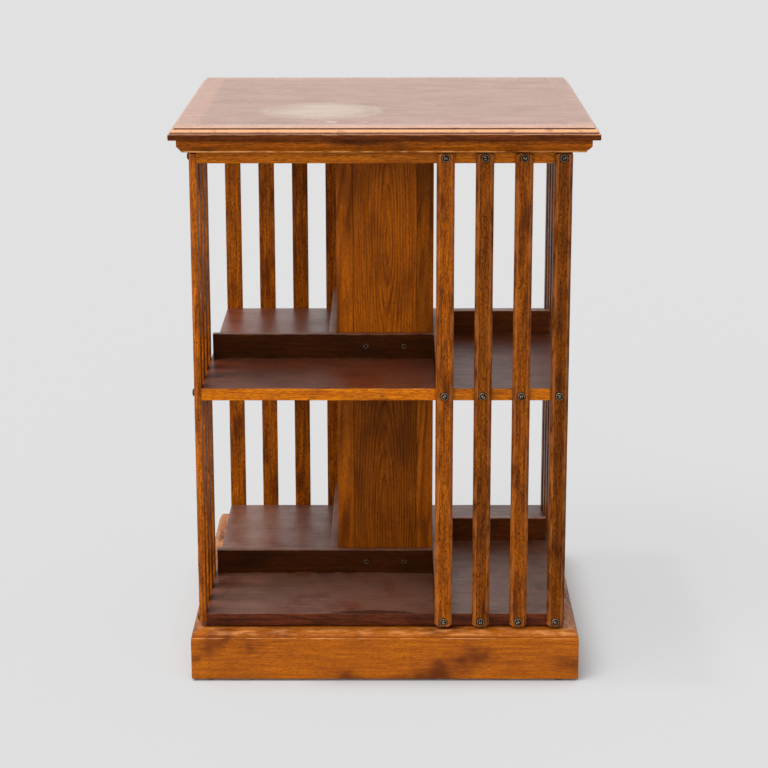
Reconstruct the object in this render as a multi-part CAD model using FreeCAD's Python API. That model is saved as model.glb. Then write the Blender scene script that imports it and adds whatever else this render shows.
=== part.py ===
import FreeCAD, Part
import math
import os

# A square two-tier revolving bookcase. Millimetres, +Z up, the front is -Y.
# The origin is on the floor, on the axis that the case turns about.

# Case boards and the clear height of each tier
case_width = 440.0
board_thickness = 15.0
lower_tier_height = 271.8
upper_tier_height = 271.8

# Top board
top_projection = 30.0
top_thickness = 14.4
top_edge_width = 6.8
top_field_step = 2.1
top_ovolo_run = 4.3
top_ovolo_drop = 3.4
top_quirk = 1.6

# Cornice, four mitred mouldings between the case top and the top board
top_overhang = 9.0
cornice_lap = 24.0
cornice_height = 16.0
cornice_chamfer = 6.0
cornice_lip = 1.6

# Slats, screwed to the edges of the three case boards
slats_per_face = 4
slat_width = 21.4
slat_thickness = 9.0
slat_chamfer = 3.8
slat_end_rise = 2.6
slat_bottom_setback = 0.8
slat_top_setback = 1.6

# Hollow square column, one set of four boards in each tier
column_width = 122.0
column_board_thickness = 21.0

# Book stops, one on each face of the column in each tier
rail_height = 32.0
rail_thickness = 10.5
rail_end_setback = 3.0

# Plinth
plinth_projection = 18.0
plinth_height = 62.0
plinth_board_thickness = 22.0
plinth_fillet = 1.6
plinth_quirk = 1.5
plinth_ovolo_radius = 6.7
plinth_to_case_gap = 1.8
cross_rail_width = 80.0
cross_rail_thickness = 20.0
cross_rail_housing = 8.0
cross_rail_drop = 12.5
corner_block_size = 38.0
corner_block_height = 48.0

# Glides, each a disc with a nail driven up into the front or the back of the plinth
glide_diameter = 16.0
glide_thickness = 2.5
glide_inset = 23.0
glide_nail_diameter = 2.4
glide_nail_length = 16.0

# Pivot
spindle_diameter = 16.0
spindle_end_chamfer = 1.0
spindle_seat_depth = 20.0
bearing_radial_clearance = 0.05
socket_flange_diameter = 112.0
socket_flange_thickness = 6.0
socket_hub_diameter = 36.0
socket_hub_height = 5.5
socket_spigot_diameter = 30.0
socket_spigot_length = 16.0
bush_flange_diameter = 62.0
bush_flange_thickness = 4.0
bush_sleeve_diameter = 26.0
cup_flange_diameter = 70.0
cup_flange_thickness = 4.0
cup_body_diameter = 30.0
cup_body_length = 32.0
cup_roof_thickness = 4.0
cup_dome_height = 3.0
ball_diameter = 12.0
ball_proud = 7.5
ball_running_gap = 0.3
shelf_spindle_hole = 34.0

# Fasteners
slat_screw_head = 7.4
slat_screw_shank = 3.5
slat_screw_length = 28.0
slat_screw_dome = 0.9
slat_screw_slot = 1.0
slat_screw_slot_depth = 0.8
cup_washer_diameter = 10.4
cup_washer_rim = 8.6
cup_washer_height = 1.7
rail_screw_head = 6.6
rail_screw_shank = 3.2
rail_screw_length = 24.0
rail_screw_spacing = 48.0
rail_screw_dome = 0.5
joint_screw_head = 8.4
joint_screw_shank = 4.2
joint_screw_length = 38.0
column_screw_spacing = 80.0
top_screw_spacing = 220.0
top_screw_inset = 12.0
plate_screw_head = 6.8
plate_screw_shank = 3.4
plate_screw_length = 13.0
plate_screw_slot = 0.9
plate_screw_slot_depth = 0.7
socket_screw_radius = 42.0
bush_screw_radius = 23.0
cup_screw_radius = 26.0

# Fits and small edge roundings
screw_clearance = 0.05
seat_clearance = 0.05
arris = 0.8

FACES = ("front", "right", "back", "left")
UP = FreeCAD.Vector(0, 0, 1)
DOWN = FreeCAD.Vector(0, 0, -1)
INWARD = FreeCAD.Vector(0, 1, 0)

# Levels, from the floor up
plinth_bottom = glide_thickness
plinth_top = plinth_bottom + plinth_height
bottom_shelf_base = plinth_top + plinth_to_case_gap
bottom_shelf_top = bottom_shelf_base + board_thickness
middle_shelf_base = bottom_shelf_top + lower_tier_height
middle_shelf_top = middle_shelf_base + board_thickness
case_top_base = middle_shelf_top + upper_tier_height
case_top_face = case_top_base + board_thickness
top_base = case_top_face + cornice_height
top_face = top_base + top_thickness
cross_rail_top = plinth_top - cross_rail_drop
cross_rail_base = cross_rail_top - cross_rail_thickness
socket_face = cross_rail_top + socket_flange_thickness
cup_base = case_top_face - cup_body_length
cup_roof = case_top_face + cup_dome_height + cup_flange_thickness - cup_roof_thickness
ball_top = cup_roof - ball_running_gap
spindle_top = ball_top - ball_proud
ball_centre = ball_top - ball_diameter / 2
spindle_base = socket_face + socket_hub_height - spindle_seat_depth

# Half sizes in plan
case_half = case_width / 2
column_half = column_width / 2
column_inner = column_half - column_board_thickness
plinth_half = case_half + plinth_projection
plinth_inner = plinth_half - plinth_board_thickness
slat_face = case_half + slat_thickness
top_half = case_half + top_projection
cornice_half = top_half - top_overhang
cornice_inner = case_half - cornice_lap
slat_pitch = (case_half - column_half - slat_width) / (slats_per_face - 1)


def block(x0, x1, y0, y1, z0, z1):
    return Part.makeBox(x1 - x0, y1 - y0, z1 - z0, FreeCAD.Vector(x0, y0, z0))


def square_board(half, z0, z1):
    return block(-half, half, -half, half, z0, z1)


def disc(diameter, z0, z1, x=0.0, y=0.0):
    return Part.makeCylinder(diameter / 2, z1 - z0, FreeCAD.Vector(x, y, z0), UP)


def turned(shape, quarters):
    copy = shape.copy()
    copy.rotate(FreeCAD.Vector(0, 0, 0), UP, 90.0 * quarters)
    return copy


def placed(shape, point, direction):
    """Move a shape made along -Z from the origin so that it points along direction."""
    copy = shape.copy()
    copy.Placement = FreeCAD.Placement(point, FreeCAD.Rotation(DOWN, direction))
    return copy


def turned_point(x, y, z, quarters):
    point = FreeCAD.Vector(x, y, z)
    return FreeCAD.Rotation(UP, 90.0 * quarters).multVec(point)


def turned_direction(direction, quarters):
    return FreeCAD.Rotation(UP, 90.0 * quarters).multVec(direction)


def filleted(shape, radius, chosen):
    edges = [edge for edge in shape.Edges if chosen(edge)]
    return shape.makeFillet(radius, edges)


def is_level(edge):
    return abs(edge.Vertexes[0].Z - edge.Vertexes[-1].Z) < 1e-6


def is_rim(edge):
    """True for the level edges of a centred board, and false for those inside it."""
    box = edge.BoundBox
    reach = max(abs(box.XMin), abs(box.XMax), abs(box.YMin), abs(box.YMax))
    return is_level(edge) and reach > case_half - 1e-6


def drilled(shape, cutters):
    for cutter in cutters:
        shape = shape.cut(cutter)
    return shape


def profile_face(points):
    """A face in the XZ plane from corner points and three-point arcs."""
    edges = []
    corner = FreeCAD.Vector(points[0][0], 0, points[0][1])
    for item in points[1:] + [points[0]]:
        end = FreeCAD.Vector(item[0], 0, item[1])
        if len(item) == 4:
            middle = FreeCAD.Vector(item[2], 0, item[3])
            edges.append(Part.Arc(corner, middle, end).toShape())
        else:
            edges.append(Part.makeLine(corner, end))
        corner = end
    return Part.Face(Part.Wire(edges))


def round_point(x0, z0, x1, z1, centre_x, centre_z):
    """The middle of the quarter ellipse from one point to the other about a centre."""
    share = math.sqrt(0.5)
    x = centre_x + (x0 + x1 - 2 * centre_x) * share
    z = centre_z + (z0 + z1 - 2 * centre_z) * share
    return x, z


def countersunk(head, shank, length, dome, slot, slot_depth, turn, spare):
    """A wood screw pointing down from the origin, grown by spare for its hole."""
    head_radius = head / 2 + spare
    shank_radius = shank / 2 + spare
    cone = head_radius - shank_radius
    point = shank
    end = length + spare
    lines = [
        FreeCAD.Vector(0, 0, 0),
        FreeCAD.Vector(head_radius, 0, 0),
        FreeCAD.Vector(shank_radius, 0, -cone),
        FreeCAD.Vector(shank_radius, 0, point - end),
        FreeCAD.Vector(0, 0, -end),
        FreeCAD.Vector(0, 0, 0),
    ]
    body = Part.Face(Part.makePolygon(lines)).revolve(FreeCAD.Vector(0, 0, 0), UP, 360)
    if dome > 0:
        sphere_radius = (head_radius ** 2 + dome ** 2) / (2 * dome)
        ball = Part.makeSphere(sphere_radius, FreeCAD.Vector(0, 0, dome - sphere_radius))
        cap = ball.common(disc(head + 1, 0, dome + 1))
        body = body.fuse(cap).removeSplitter()
    if slot_depth > 0:
        groove = block(-head, head, -slot / 2, slot / 2, dome - slot_depth, dome + 1)
        groove.rotate(FreeCAD.Vector(0, 0, 0), UP, turn)
        body = body.cut(groove)
    return body


def screw_hole(head, shank, length):
    return countersunk(head, shank, length, 0, 0, 0, 0, screw_clearance)


def plain_hole(diameter, length):
    """A drill's hole pointing down from the origin."""
    return Part.makeCylinder(diameter / 2 + screw_clearance, length, FreeCAD.Vector(0, 0, 0), DOWN)


def save(name, shape):
    os.makedirs("parts", exist_ok=True)
    shape.exportStep("parts/" + name + ".step")


# Where each kind of screw goes: head point, direction, and the turn of its slot


def slat_centres():
    first = column_half + slat_width / 2
    return [first + number * slat_pitch for number in range(slats_per_face)]


def slat_screw_levels():
    half = board_thickness / 2
    return (bottom_shelf_base + half, middle_shelf_base + half, case_top_base + half)


def slat_screw_places():
    places = []
    for quarters in range(4):
        for x in slat_centres():
            for level in slat_screw_levels():
                point = turned_point(x, -slat_face - cup_washer_height, level, quarters)
                turn = 37.0 * len(places) % 180.0
                places.append((point, turned_direction(INWARD, quarters), turn))
    return places


def rail_screw_places():
    places = []
    for quarters in range(4):
        for base in (bottom_shelf_top, middle_shelf_top):
            for x in (-rail_screw_spacing / 2, rail_screw_spacing / 2):
                point = turned_point(x, -column_half - rail_thickness, base + rail_height / 2, quarters)
                turn = 53.0 * len(places) % 180.0
                places.append((point, turned_direction(INWARD, quarters), turn))
    return places


def column_screw_places(level, direction):
    x = column_half - column_board_thickness / 2
    y = column_screw_spacing / 2
    corners = ((x, y), (-x, y), (-x, -y), (x, -y))
    return [(FreeCAD.Vector(cx, cy, level), direction, 40.0 * n) for n, (cx, cy) in enumerate(corners)]


def top_screw_places():
    places = []
    for quarters in range(4):
        for x in (-top_screw_spacing / 2, top_screw_spacing / 2):
            point = turned_point(x, -case_half + top_screw_inset, case_top_base, quarters)
            places.append((point, UP, 29.0 * len(places)))
    return places


def plate_screw_places(radius, level):
    places = []
    for number in range(4):
        angle = math.radians(45 + 90 * number)
        point = FreeCAD.Vector(radius * math.cos(angle), radius * math.sin(angle), level)
        places.append((point, DOWN, 61.0 * number))
    return places


bottom_screws = column_screw_places(bottom_shelf_base, UP)
middle_screws = column_screw_places(middle_shelf_top, DOWN)
upper_screws = column_screw_places(case_top_face, DOWN)
top_screws = top_screw_places()
socket_screws = plate_screw_places(socket_screw_radius, socket_face)
bush_screws = plate_screw_places(bush_screw_radius, bottom_shelf_top + bush_flange_thickness)
cup_screws = plate_screw_places(cup_screw_radius, case_top_face + cup_flange_thickness)


def holes(places, hole):
    return [placed(hole, point, direction) for point, direction, turn in places]


joint_holes = screw_hole(joint_screw_head, joint_screw_shank, joint_screw_length)
plate_holes = screw_hole(plate_screw_head, plate_screw_shank, plate_screw_length)
rail_holes = screw_hole(rail_screw_head, rail_screw_shank, rail_screw_length)
slat_holes = plain_hole(slat_screw_shank, slat_screw_length)


# Top board and cornice


def top_board():
    half = top_half
    field = half - top_edge_width
    step = top_face - top_field_step
    ovolo_x = field + top_ovolo_run
    ovolo_z = step - top_ovolo_drop
    shelf_z = ovolo_z - top_quirk
    arc_x, arc_z = round_point(field, step, ovolo_x, ovolo_z, field, ovolo_z)
    points = [
        (-half, top_base),
        (half, top_base),
        (half, shelf_z),
        (ovolo_x, shelf_z),
        (ovolo_x, ovolo_z),
        (field, step, arc_x, arc_z),
        (field, top_face),
        (-field, top_face),
        (-field, step),
        (-ovolo_x, ovolo_z, -arc_x, arc_z),
        (-ovolo_x, shelf_z),
        (-half, shelf_z),
    ]
    face = profile_face(points)
    face.translate(FreeCAD.Vector(0, -half, 0))
    one_way = face.extrude(FreeCAD.Vector(0, 2 * half, 0))
    board = one_way.common(turned(one_way, 1))

    def is_fascia_edge(edge):
        box = edge.BoundBox
        reach = max(abs(box.XMin), abs(box.XMax), abs(box.YMin), abs(box.YMax))
        return is_level(edge) and reach > half - 1e-6
    board = filleted(board, arris, is_fascia_edge)
    return drilled(board, holes(top_screws, joint_holes))


def mitred(profile, half):
    """A moulding along X on the front side, its ends cut at 45 degrees."""
    profile.rotate(FreeCAD.Vector(0, 0, 0), UP, -90)
    profile.translate(FreeCAD.Vector(-half, 0, 0))
    length = profile.extrude(FreeCAD.Vector(2 * half, 0, 0))
    wedge_points = [
        FreeCAD.Vector(0, 0, 0),
        FreeCAD.Vector(-2 * half, -2 * half, 0),
        FreeCAD.Vector(2 * half, -2 * half, 0),
        FreeCAD.Vector(0, 0, 0),
    ]
    wedge = Part.Face(Part.makePolygon(wedge_points)).extrude(FreeCAD.Vector(0, 0, top_face))
    return length.common(wedge)


def cornice_moulding():
    lip_x = cornice_half - cornice_chamfer
    lip_z = case_top_face + cornice_lip
    points = [
        (cornice_inner, case_top_face),
        (lip_x, case_top_face),
        (lip_x, lip_z),
        (cornice_half, lip_z + cornice_chamfer),
        (cornice_half, top_base),
        (cornice_inner, top_base),
    ]
    return mitred(profile_face(points), cornice_half)


# Case boards


def case_board(base, centre_hole, screw_cutters):
    board = square_board(case_half, base, base + board_thickness)
    board = filleted(board, arris, is_rim)
    board = board.cut(disc(centre_hole, base, base + board_thickness))
    return drilled(board, screw_cutters)


def bottom_shelf():
    cutters = holes(slat_screw_places()[0::3], slat_holes)
    cutters += holes(bottom_screws, joint_holes)
    cutters += holes(bush_screws, plate_holes)
    return case_board(bottom_shelf_base, bush_sleeve_diameter + 2 * seat_clearance, cutters)


def middle_shelf():
    cutters = holes(slat_screw_places()[1::3], slat_holes)
    cutters += holes(middle_screws, joint_holes)
    return case_board(middle_shelf_base, shelf_spindle_hole, cutters)


def case_top():
    cutters = holes(slat_screw_places()[2::3], slat_holes)
    cutters += holes(upper_screws, joint_holes)
    cutters += holes(top_screws, joint_holes)
    cutters += holes(cup_screws, plate_holes)
    return case_board(case_top_base, cup_body_diameter + 2 * seat_clearance, cutters)


# Slats


def slat():
    """The slat nearest the column on the front side, before its screw holes."""
    left = column_half
    right = left + slat_width
    bottom = bottom_shelf_base + slat_bottom_setback
    top = case_top_face - slat_top_setback
    middle = (left + right) / 2
    outline = profile_face([
        (left, bottom + slat_end_rise),
        (right, bottom + slat_end_rise, middle, bottom),
        (right, top - slat_end_rise),
        (left, top - slat_end_rise, middle, top),
    ])
    outline.translate(FreeCAD.Vector(0, -slat_face, 0))
    blank = outline.extrude(FreeCAD.Vector(0, slat_thickness, 0))
    section = [
        FreeCAD.Vector(left, -case_half, 0),
        FreeCAD.Vector(left, -slat_face + slat_chamfer, 0),
        FreeCAD.Vector(left + slat_chamfer, -slat_face, 0),
        FreeCAD.Vector(right - slat_chamfer, -slat_face, 0),
        FreeCAD.Vector(right, -slat_face + slat_chamfer, 0),
        FreeCAD.Vector(right, -case_half, 0),
        FreeCAD.Vector(left, -case_half, 0),
    ]
    prism = Part.Face(Part.makePolygon(section)).extrude(FreeCAD.Vector(0, 0, top_face))
    shape = blank.common(prism)
    centre = left + slat_width / 2
    for level in slat_screw_levels():
        point = FreeCAD.Vector(centre, -slat_face - cup_washer_height, level)
        shape = shape.cut(placed(slat_holes, point, INWARD))
    return shape


# Column boards and book stops


def column_side_board(base, height):
    """The full-width board on the right side of the column."""
    board = block(column_inner, column_half, -column_half, column_half, base, base + height)
    return filleted(board, arris, lambda edge: not is_level(edge))


def column_face_board(base, height):
    """The board on the front of the column, set between the side boards."""
    return block(-column_inner, column_inner, -column_half, -column_inner, base, base + height)


def column_boards(base, height, cutters):
    side = column_side_board(base, height)
    face = column_face_board(base, height)
    boards = {"front": face, "right": side, "back": turned(face, 2), "left": turned(side, 2)}
    rail_cutters = holes(rail_screw_places(), rail_holes)
    return {name: drilled(board, cutters + rail_cutters) for name, board in boards.items()}


def book_stop(base):
    """The stop on the front of the column, with the holes for its screws."""
    left = -case_half + rail_end_setback
    rail = block(left, column_half, -column_half - rail_thickness, -column_half, base, base + rail_height)

    def is_top_edge(edge):
        along = abs(edge.Vertexes[0].X - edge.Vertexes[-1].X) > rail_thickness
        return is_level(edge) and along and edge.Vertexes[0].Z > base + rail_height - 1e-6
    rail = filleted(rail, arris, is_top_edge)
    for x in (-rail_screw_spacing / 2, rail_screw_spacing / 2):
        point = FreeCAD.Vector(x, -column_half - rail_thickness, base + rail_height / 2)
        rail = rail.cut(placed(rail_holes, point, INWARD))
    return rail


# Plinth


def cross_rail(upper):
    """The rail that runs left to right; upper says which half it keeps at the crossing."""
    reach = plinth_inner + cross_rail_housing
    half = cross_rail_width / 2
    middle = cross_rail_base + cross_rail_thickness / 2
    rail = block(-reach, reach, -half, half, cross_rail_base, cross_rail_top)
    if upper:
        rail = rail.cut(block(-half, half, -half, half, cross_rail_base, middle))
    else:
        rail = rail.cut(block(-half, half, -half, half, middle, cross_rail_top))
    spigot_hole = disc(socket_spigot_diameter + 2 * seat_clearance, cross_rail_base, cross_rail_top)
    return rail.cut(spigot_hole)


def plinth_board():
    half = plinth_half
    fillet_z = plinth_top - plinth_ovolo_radius - plinth_quirk
    ovolo_x = half - plinth_fillet
    ovolo_z = plinth_top - plinth_ovolo_radius
    crown_x = ovolo_x - plinth_ovolo_radius
    arc_x, arc_z = round_point(ovolo_x, ovolo_z, crown_x, plinth_top, crown_x, ovolo_z)
    points = [
        (plinth_inner, plinth_bottom),
        (half, plinth_bottom),
        (half, fillet_z),
        (ovolo_x, fillet_z),
        (ovolo_x, ovolo_z),
        (crown_x, plinth_top, arc_x, arc_z),
        (plinth_inner, plinth_top),
    ]
    board = mitred(profile_face(points), half)

    def is_fascia_edge(edge):
        box = edge.BoundBox
        low = abs(box.ZMax - plinth_bottom) < 1e-6
        high = abs(box.ZMin - fillet_z) < 1e-6
        return is_level(edge) and (low or high) and box.YMax < -half + 1e-6
    board = filleted(board, arris, is_fascia_edge)
    width = cross_rail_width / 2
    reach = plinth_inner + cross_rail_housing
    return board.cut(block(-width, width, -reach, -plinth_inner, cross_rail_base, cross_rail_top))


def corner_block():
    inner = plinth_inner - corner_block_size
    top = plinth_bottom + corner_block_height
    return block(inner, plinth_inner, -plinth_inner, -inner, plinth_bottom, top)


def glide_spots():
    x = plinth_half - glide_inset
    y = plinth_half - plinth_board_thickness / 2
    return ((x, -y), (x, y), (-x, y), (-x, -y))


def glide_nail_holes():
    hole = glide_nail_diameter + 2 * screw_clearance
    top = plinth_bottom + glide_nail_length + screw_clearance
    return [disc(hole, plinth_bottom, top, x, y) for x, y in glide_spots()]


def glide(x, y):
    pad = disc(glide_diameter, 0, plinth_bottom, x, y)
    pad = filleted(pad, arris, lambda edge: is_level(edge) and edge.BoundBox.ZMax < 1e-6)
    nail = disc(glide_nail_diameter, plinth_bottom, plinth_bottom + glide_nail_length, x, y)
    return pad.fuse(nail)


# Pivot


def foot_socket():
    flange = disc(socket_flange_diameter, cross_rail_top, socket_face)
    hub = disc(socket_hub_diameter, socket_face, socket_face + socket_hub_height)
    spigot = disc(socket_spigot_diameter, cross_rail_top - socket_spigot_length, cross_rail_top)
    body = flange.fuse([hub, spigot]).removeSplitter()
    seat = disc(spindle_diameter + 2 * seat_clearance, spindle_base, socket_face + socket_hub_height)
    return drilled(body.cut(seat), holes(socket_screws, plate_holes))


def spindle():
    rod = disc(spindle_diameter, spindle_base, spindle_top)
    rod = rod.makeChamfer(spindle_end_chamfer, [edge for edge in rod.Edges if is_level(edge)
                                                and edge.BoundBox.ZMin > spindle_top - 1e-6])
    ball = Part.makeSphere(ball_diameter / 2 + seat_clearance, FreeCAD.Vector(0, 0, ball_centre))
    return rod.cut(ball)


def thrust_ball():
    return Part.makeSphere(ball_diameter / 2, FreeCAD.Vector(0, 0, ball_centre))


def lower_bush():
    flange = disc(bush_flange_diameter, bottom_shelf_top, bottom_shelf_top + bush_flange_thickness)
    sleeve = disc(bush_sleeve_diameter, bottom_shelf_base, bottom_shelf_top)
    bore = disc(spindle_diameter + 2 * bearing_radial_clearance, bottom_shelf_base,
                bottom_shelf_top + bush_flange_thickness)
    body = flange.fuse(sleeve).removeSplitter().cut(bore)
    return drilled(body, holes(bush_screws, plate_holes))


def pivot_cup():
    flange = disc(cup_flange_diameter, case_top_face, case_top_face + cup_flange_thickness)
    body = disc(cup_body_diameter, cup_base, case_top_face)
    dome = disc(cup_body_diameter, case_top_face + cup_flange_thickness,
                case_top_face + cup_flange_thickness + cup_dome_height)
    bore = disc(spindle_diameter + 2 * bearing_radial_clearance, cup_base, cup_roof)
    body = flange.fuse([body, dome]).removeSplitter().cut(bore)
    return drilled(body, holes(cup_screws, plate_holes))


# Fasteners


def cup_washer():
    """A pressed screw cup; its rim is at the origin and its foot lies below."""
    foot = cup_washer_diameter / 2
    rim = cup_washer_rim / 2
    head = slat_screw_head / 2 + screw_clearance
    cone = Part.makeCone(foot, rim, cup_washer_height, FreeCAD.Vector(0, 0, -cup_washer_height), UP)
    sink = Part.makeCone(head - cup_washer_height, head, cup_washer_height,
                         FreeCAD.Vector(0, 0, -cup_washer_height), UP)
    return cone.cut(sink)


def group(shapes):
    return Part.makeCompound(shapes)


def slat_screw(turn):
    return countersunk(slat_screw_head, slat_screw_shank, slat_screw_length, slat_screw_dome,
                       slat_screw_slot, slat_screw_slot_depth, turn, 0)


def rail_screw(turn):
    return countersunk(rail_screw_head, rail_screw_shank, rail_screw_length, rail_screw_dome,
                       plate_screw_slot, plate_screw_slot_depth, turn, 0)


def joint_screw(turn):
    return countersunk(joint_screw_head, joint_screw_shank, joint_screw_length, 0,
                       slat_screw_slot, slat_screw_slot_depth, turn, 0)


def plate_screw(turn):
    return countersunk(plate_screw_head, plate_screw_shank, plate_screw_length, 0,
                       plate_screw_slot, plate_screw_slot_depth, turn, 0)


def screws(places, make):
    return group([placed(make(turn), point, direction) for point, direction, turn in places])


def build():
    save("top_board", top_board())
    moulding = cornice_moulding()
    for quarters, name in enumerate(FACES):
        cutters = holes(top_screws, joint_holes)
        save("cornice_" + name, drilled(turned(moulding, quarters), cutters))
    save("case_top", case_top())
    save("middle_shelf", middle_shelf())
    save("bottom_shelf", bottom_shelf())

    first_slat = slat()
    for number in range(slats_per_face):
        moved = first_slat.copy()
        moved.translate(FreeCAD.Vector(number * slat_pitch, 0, 0))
        for quarters, name in enumerate(FACES):
            save("slat_" + name + "_" + str(number + 1), turned(moved, quarters))

    lower = column_boards(bottom_shelf_top, lower_tier_height,
                          holes(bottom_screws, joint_holes) + holes(middle_screws, joint_holes))
    upper = column_boards(middle_shelf_top, upper_tier_height, holes(upper_screws, joint_holes))
    for tier, boards in (("lower", lower), ("upper", upper)):
        for name, shape in boards.items():
            save("column_" + tier + "_" + name, shape)
    for tier, base in (("lower", bottom_shelf_top), ("upper", middle_shelf_top)):
        stop = book_stop(base)
        for quarters, name in enumerate(FACES):
            save("book_stop_" + tier + "_" + name, turned(stop, quarters))

    board = plinth_board()
    for quarters, name in enumerate(FACES):
        save("plinth_" + name, drilled(turned(board, quarters), glide_nail_holes()))
    socket_cutters = holes(socket_screws, plate_holes)
    save("cross_rail_side_to_side", drilled(cross_rail(True), socket_cutters))
    save("cross_rail_front_to_back", drilled(turned(cross_rail(False), 1), socket_cutters))
    save("plinth_corner_blocks", group([turned(corner_block(), quarters) for quarters in range(4)]))
    save("plinth_glides", group([glide(x, y) for x, y in glide_spots()]))

    save("foot_socket", foot_socket())
    save("spindle", spindle())
    save("thrust_ball", thrust_ball())
    save("lower_bush", lower_bush())
    save("pivot_cup", pivot_cup())

    save("slat_screws", screws(slat_screw_places(), slat_screw))
    washers = [placed(cup_washer(), point, direction) for point, direction, turn in slat_screw_places()]
    save("slat_cup_washers", group(washers))
    save("book_stop_screws", screws(rail_screw_places(), rail_screw))
    joints = bottom_screws + middle_screws + upper_screws + top_screws
    save("case_joint_screws", screws(joints, joint_screw))
    save("bearing_screws", screws(bush_screws + cup_screws, plate_screw))
    save("foot_socket_screws", screws(socket_screws, plate_screw))


build()
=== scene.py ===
"""The looks of a square two-tier revolving bookcase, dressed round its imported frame."""

import logging
import math
from dataclasses import dataclass, field, fields
from enum import Enum
from functools import partial
from itertools import product
from typing import Any, Callable, ClassVar, Iterable, Sequence

import bmesh
import bpy
from mathutils import Matrix, Vector, noise


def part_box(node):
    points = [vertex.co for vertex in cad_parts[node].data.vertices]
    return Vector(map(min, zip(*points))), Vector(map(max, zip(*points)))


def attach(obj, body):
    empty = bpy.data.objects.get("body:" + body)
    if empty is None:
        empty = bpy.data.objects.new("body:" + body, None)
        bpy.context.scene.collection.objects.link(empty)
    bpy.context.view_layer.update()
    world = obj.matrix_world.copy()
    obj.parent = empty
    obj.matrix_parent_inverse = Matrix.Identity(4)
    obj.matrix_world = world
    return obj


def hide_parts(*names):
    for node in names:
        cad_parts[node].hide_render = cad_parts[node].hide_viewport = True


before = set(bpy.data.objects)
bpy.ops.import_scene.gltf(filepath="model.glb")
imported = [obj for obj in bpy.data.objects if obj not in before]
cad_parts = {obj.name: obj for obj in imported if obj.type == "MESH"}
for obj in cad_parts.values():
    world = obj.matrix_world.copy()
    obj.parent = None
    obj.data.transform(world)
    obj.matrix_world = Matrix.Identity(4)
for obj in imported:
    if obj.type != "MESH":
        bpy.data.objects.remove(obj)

MM = 0.001
BASE = "base"
CASE = "case"
LOG = logging.getLogger("bookcase")


class Side(Enum):
    """The four faces, by quarter turns about the upright axis from the front."""

    FRONT = 0
    RIGHT = 1
    BACK = 2
    LEFT = 3

    @property
    def word(self) -> str:
        """The word that the CAD nodes of this side end with."""
        return self.name.lower()

    @property
    def turn(self) -> Matrix:
        """The turn that takes the front face to this one."""
        return Matrix.Rotation(self.value * math.pi / 2, 4, "Z")


class Tier(Enum):
    """The two tiers of the case, from the floor up."""

    LOWER = 0
    UPPER = 1

    @property
    def word(self) -> str:
        """The word that the CAD nodes of this tier hold."""
        return self.name.lower()


class Axis(Enum):
    """An axis of the frame, as the way that a board's grain runs."""

    X = 0
    Y = 1
    Z = 2

    @property
    def unit(self) -> Vector:
        """The unit vector along this axis."""
        return Vector([float(self.value == n) for n in range(3)])


# Nodes and colours


def linear(colour: str) -> tuple[float, float, float, float]:
    """Turns an sRGB hex colour to linear light.

    Args:
        colour: six hex digits after a hash sign.

    Returns:
        Red, green, blue and an alpha of 1.
    """
    parts = [int(colour[start:start + 2], 16) / 255 for start in (1, 3, 5)]
    light = [c / 12.92 if c <= 0.04045 else ((c + 0.055) / 1.055) ** 2.4 for c in parts]
    return (*light, 1.0)


class Node(Enum):
    """The nodes that the patterns are made of: each one's type and its settings.

    STEPPED takes a value, where its smooth step starts and ends, and what it gives before and
    after, which are 0 and 1 where nothing is said. BLENDED takes a share, the colour at 0 and
    the colour at 1.
    """

    PLUS = ("ShaderNodeMath", {"operation": "ADD"})
    MINUS = ("ShaderNodeMath", {"operation": "SUBTRACT"})
    TIMES = ("ShaderNodeMath", {"operation": "MULTIPLY"})
    OVER = ("ShaderNodeMath", {"operation": "DIVIDE"})
    POWER = ("ShaderNodeMath", {"operation": "POWER"})
    LARGER = ("ShaderNodeMath", {"operation": "MAXIMUM"})
    ABOVE = ("ShaderNodeMath", {"operation": "GREATER_THAN"})
    BELOW = ("ShaderNodeMath", {"operation": "LESS_THAN"})
    SIZE = ("ShaderNodeMath", {"operation": "ABSOLUTE"})
    FRACTION = ("ShaderNodeMath", {"operation": "FRACT"})
    WHOLE = ("ShaderNodeMath", {"operation": "FLOOR"})
    REMAINDER = ("ShaderNodeMath", {"operation": "FLOORED_MODULO"})
    MOVED = ("ShaderNodeVectorMath", {"operation": "ADD"})
    MOVED_BACK = ("ShaderNodeVectorMath", {"operation": "SUBTRACT"})
    STRETCHED = ("ShaderNodeVectorMath", {"operation": "MULTIPLY"})
    BRIGHTENED = ("ShaderNodeVectorMath", {"operation": "SCALE"})
    JOINED = ("ShaderNodeCombineXYZ", {})
    APART = ("ShaderNodeSeparateXYZ", {})
    STEPPED = ("ShaderNodeMapRange", {"interpolation_type": "SMOOTHSTEP"})
    BLENDED = ("ShaderNodeMix", {"data_type": "RGBA"})
    NOISE = ("ShaderNodeTexNoise", {"noise_dimensions": "3D"})
    HELD = ("ShaderNodeAttribute", {"attribute_type": "GEOMETRY"})
    PLACE = ("ShaderNodeTexCoord", {})
    RAY = ("ShaderNodeLightPath", {})
    GLOW = ("ShaderNodeEmission", {})
    SKY = ("ShaderNodeBackground", {})
    EITHER = ("ShaderNodeMixShader", {})


Adder = Callable[..., Any]


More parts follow.
